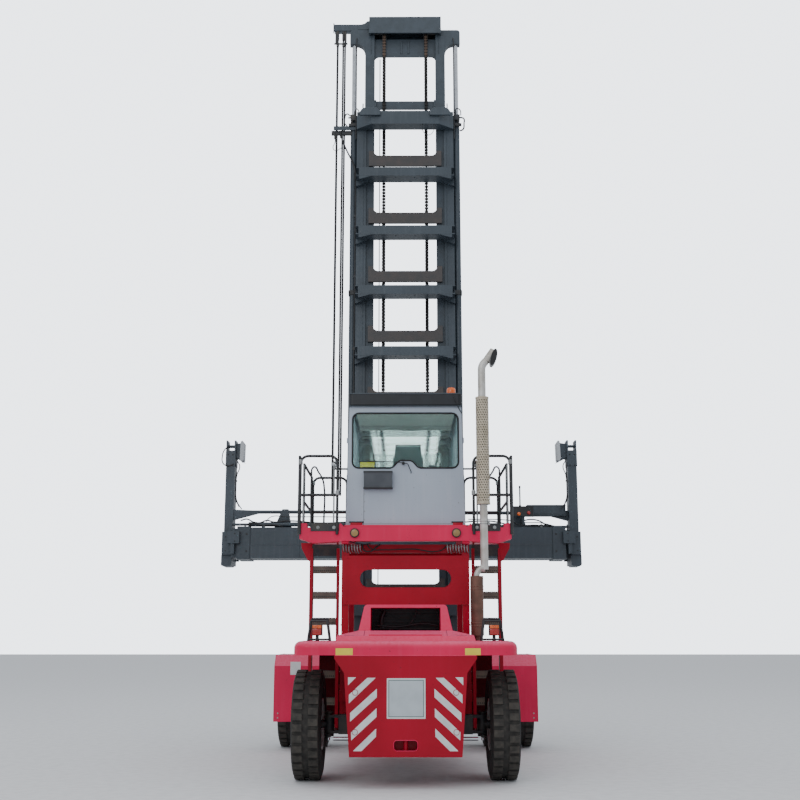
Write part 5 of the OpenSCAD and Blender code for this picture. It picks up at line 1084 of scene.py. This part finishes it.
# Spreader beam: collar bolts, weld lines, glands of the rams
collar_places = [(x, z) for x in (-2.968, 2.808) for z in (3.35, 3.669)]
dress("spreader", "collar_bolts", black_steel, "black_paint", *[
    hex_bolts([(x, y, z) for x, z in collar_places], out, 0.02, 0.008) for y, out in ((3.132, BACK), (3.808, FORE))])
dress("spreader", "spreader_weld_lines", slate_enamel, "slate_paint",
      *[bead((-2.9, y, 3.472), (2.74, y, 3.472), 0.006) for y in (3.149, 3.791)],
      *[bead((x, 3.149, 3.23), (x, 3.149, 3.79), 0.005) for x in (-1.98, -0.9, 0.74, 1.82)],
      *[bead((x, 3.147, 3.225), (x, 3.147, 3.79), 0.007) for x in (-2.905, 2.745)])
gland = turned([(0.026, 0), (0.044, 0), (0.047, 0.008), (0.047, 0.045), (0.042, 0.06), (0.026, 0.06), (0.026, 0)],
               (0, 0, 0), "X")
dress("spreader", "ram_glands", axle_black, "slate_paint",
      copied(gland, [(-2.95, 3.23, RAM_Z), (2.73, 3.71, RAM_Z)]))
# Hoses along the beam and their clips
dress("spreader", "spreader_hoses", hose_rubber, "black_paint",
      tube([(-3.1, 3.22, 3.93), (-2.98, 3.21, 3.955), (-2.86, 3.2, 3.9), (-2.74, 3.2, 3.885), (-2.6, 3.21, 3.93),
            (-2.48, 3.21, 3.9), (-2.2, 3.2, 3.92), (-1.6, 3.2, 3.88), (-0.9, 3.22, 3.9), (-0.3, 3.26, 3.86)], 0.014),
      tube([(-3.02, 3.18, 3.82), (-2.9, 3.17, 3.87), (-2.7, 3.175, 3.84), (-2.5, 3.18, 3.845), (-2.3, 3.17, 3.815)],
           0.011),
      tube([(-2.62, 3.19, 3.9), (-2.55, 3.18, 3.98), (-2.45, 3.18, 4.01), (-2.3, 3.2, 4), (-1.6, 3.22, 4),
            (-1, 3.24, 3.99)], 0.008),
      tube([(2, 3.2, 4), (2.05, 3.19, 3.88), (2.2, 3.19, 3.84), (2.45, 3.19, 3.84), (2.6, 3.2, 3.82)], 0.01),
      tube([(1, 3.62, 3.93), (1.6, 3.64, 3.96), (2.1, 3.66, 3.9), (2.35, 3.68, 3.99), (2.55, 3.66, 3.97),
            (2.7, 3.64, 3.88)], 0.014),
      tube([(1.2, 3.6, 3.99), (1.9, 3.62, 3.98), (2.3, 3.64, 3.93), (2.6, 3.62, 3.92), (2.85, 3.6, 3.86)], 0.01),
      tube([(2.15, 3.18, 4.03), (2.16, 3.17, 3.95), (2.18, 3.2, 3.84)], 0.008))
dress("spreader", "spreader_hose_clips", line_zinc, "pipe_steel",
      *[bar(span(x, 0.02), (3.18, 3.26), (3.795, 3.835), 0.004) for x in (-2.66, -1.9, -1.2)],
      *[bar(span(x, 0.02), (3.6, 3.66), (3.795, 3.9), 0.004) for x in (1.1, 1.9, 2.6)])
# Lamp box on the beam: cover, orange and red lenses, tip of its mast
dress("spreader", "lamp_box_cover", black_steel, "lamp_plastic",
      bar((2.04, 2.4), (3.163, 3.171), (4.008, 4.178)), bar((2.022, 2.418), (3.164, 3.296), (4.18, 4.192)))
for name, lens, x, z in (("lamp_box_orange", orange_lens, 2.129, 4.045), ("lamp_box_red", red_lens, 2.311, 4.065)):
    dress("spreader", name, lens, "lamp_plastic", turned(
        [(0, 0), (0.034, 0), (0.034, -0.01), (0.028, -0.018), (0.012, -0.022), (0, -0.023)], (x, 3.163, z), "Y"))
dress("spreader", "lamp_mast_tip", black_steel, "black_paint",
      turned([(0, 0), (0.018, 0), (0.018, 0.03), (0.014, 0.04), (0, 0.04)], (2.16, 3.23, 4.545), "Z"),
      pin((2.16, 3.23, 4.184), (2.16, 3.23, 4.22), 0.022, 14))

# Arms: flared guide plates and their heads, wear strips, bolts of the plates and latches, cables down the legs.
# Each is built beyond its leg's inner face on the right, and turned over for the left arm.
for side, arm, face in ((-1, "left_arm", 3.249), (1, "right_arm", 3.089)):
    near, far = (face - 0.07, face - 0.158) if side < 0 else (face - 0.113, face - 0.197)
    guide = cut_plate([(near, 5.13), (near - 0.012, 5.46), (near - 0.045, 5.485), (far, 5.43), (far + 0.006, 5.1),
                       (near - 0.03, 5.075)], "y", 3.36, 3.58, 0.006)
    gusset = [(far + 0.01, 5.075), (far - 0.012, 5.055), (face + 0.01, 5.16), (face + 0.01, 5.26)]
    head = joined([
        cut_plate([(near - 0.01, 5.2), (face + 0.01, 5.1), (face + 0.01, 5.42), (near - 0.01, 5.44)],
                  "y", 3.4, 3.54, 0.006),
        *[cut_plate(gusset, "y", *y, 0.004) for y in ((3.37, 3.4), (3.54, 3.57))],
        *[bar((face + 0.03, face + 0.17), (3.164, 3.171), z, 0.002) for z in ((3.32, 3.35), (3.56, 3.58))]])
    bolts = joined([
        hex_bolts([(face + x, 3.31, z) for x in (0.05, 0.14) for z in (4.99, 5.2)], BACK, 0.014, 0.011),
        hex_bolts([(face + x, y, z) for x, y, z in ((-0.07, 3.04, 3.53), (-0.07, 3.04, 3.67), (0.12, 3.17, 3.36),
                                                    (0.12, 3.17, 3.62))], BACK, 0.014, 0.01)])
    cables = joined([
        *[tube([(face + x, y, z) for x, y, z in run], radius) for run, radius in (
            (((-0.02, 3.39, 5.1), (-0.075, 3.385, 4.98), (-0.03, 3.38, 4.82), (-0.015, 3.375, 4.6),
              (-0.02, 3.37, 4.42), (-0.06, 3.36, 4.28), (-0.14, 3.36, 4.16)), 0.01),
            (((0, 3.36, 5.06), (-0.02, 3.355, 4.9), (-0.012, 3.35, 4.7), (-0.022, 3.35, 4.5), (-0.012, 3.35, 4.38),
              (-0.09, 3.35, 4.2)), 0.009))],
        pin((face - 0.02, 3.39, 4.7), (face - 0.02, 3.345, 4.7), 0.02, 10)])
    for part, name, finish in ((guide, "guide_plate", pale_enamel), (head, "guide_head", slate_enamel),
                               (bolts, "arm_bolts", black_steel), (cables, "leg_cables", hose_rubber)):
        dress(arm, arm + "_" + name, finish, "slate_paint", flipped(part) if side < 0 else part)
# Cable loop outside the left leg, lid of the cable housing on the right arm
dress("left_arm", "left_arm_cable_loop", hose_rubber, "black_paint", tube(
    [(-3.4, 3.32, 5.36), (-3.475, 3.31, 5.27), (-3.5, 3.3, 5.16), (-3.495, 3.3, 5.06), (-3.45, 3.3, 5),
     (-3.36, 3.305, 4.985), (-3.28, 3.31, 5.02)], 0.011))
dress("right_arm", "cable_housing_lid", slate_enamel, "slate_paint",
      bar((2.345, 3.025), (3.452, 3.461), (4.075, 4.215)), bar((2.31, 3.06), (3.452, 3.618), (4.236, 4.25)),
      pin((2.36, 3.458, 4.048), (3, 3.458, 4.048), 0.007, 8),
      *[bar((x, x + 0.03), (3.448, 3.456), (4.12, 4.17), 0.002) for x in (2.42, 2.93)])

# Studio: pale floor and even, soft light from above and from behind the camera
floor = settle(fresh(bpy.ops.mesh.primitive_plane_add, size=160, location=(0, 30, 0)))
floor.name = "floor"
floor.data.materials.append(coated("pale studio floor", "#d9dadb", "#d1d2d3", rough=0.8, grain_mm=60))
world = bpy.data.worlds.new("overcast")
world.use_nodes = True
sky = world.node_tree
backdrop = sky.nodes["Background"]
backdrop.inputs["Color"].default_value = sheet_colour("#e3e8ef")
# The sky that the camera sees, also through glass, is brighter than the one that lights the machine
seen = calc(sky, "MAXIMUM", *[add(sky, "ShaderNodeLightPath", out=kind)
                              for kind in ("Is Camera Ray", "Is Transmission Ray")])
sky.links.new(ramp(sky, seen, 0, 1, 1.05, 4.2), backdrop.inputs["Strength"])
bpy.context.scene.world = world
for name, power, size, place, aim in (
        ("sky_panel", 1900, (26, 26), (0, -2, 26), (0, 0, 0)),
        ("rear_panel", 1100, (14, 10), (-9, -22, 14), (0, -2, 3))):
    panel = bpy.data.lights.new(name, "AREA")
    panel.shape = "RECTANGLE"
    panel.size, panel.size_y = size
    panel.energy = power
    lamp = bpy.data.objects.new(name, panel)
    lamp.location = place
    lamp.rotation_euler = (Vector(aim) - Vector(place)).to_track_quat("-Z", "Y").to_euler()
    bpy.context.scene.collection.objects.link(lamp)
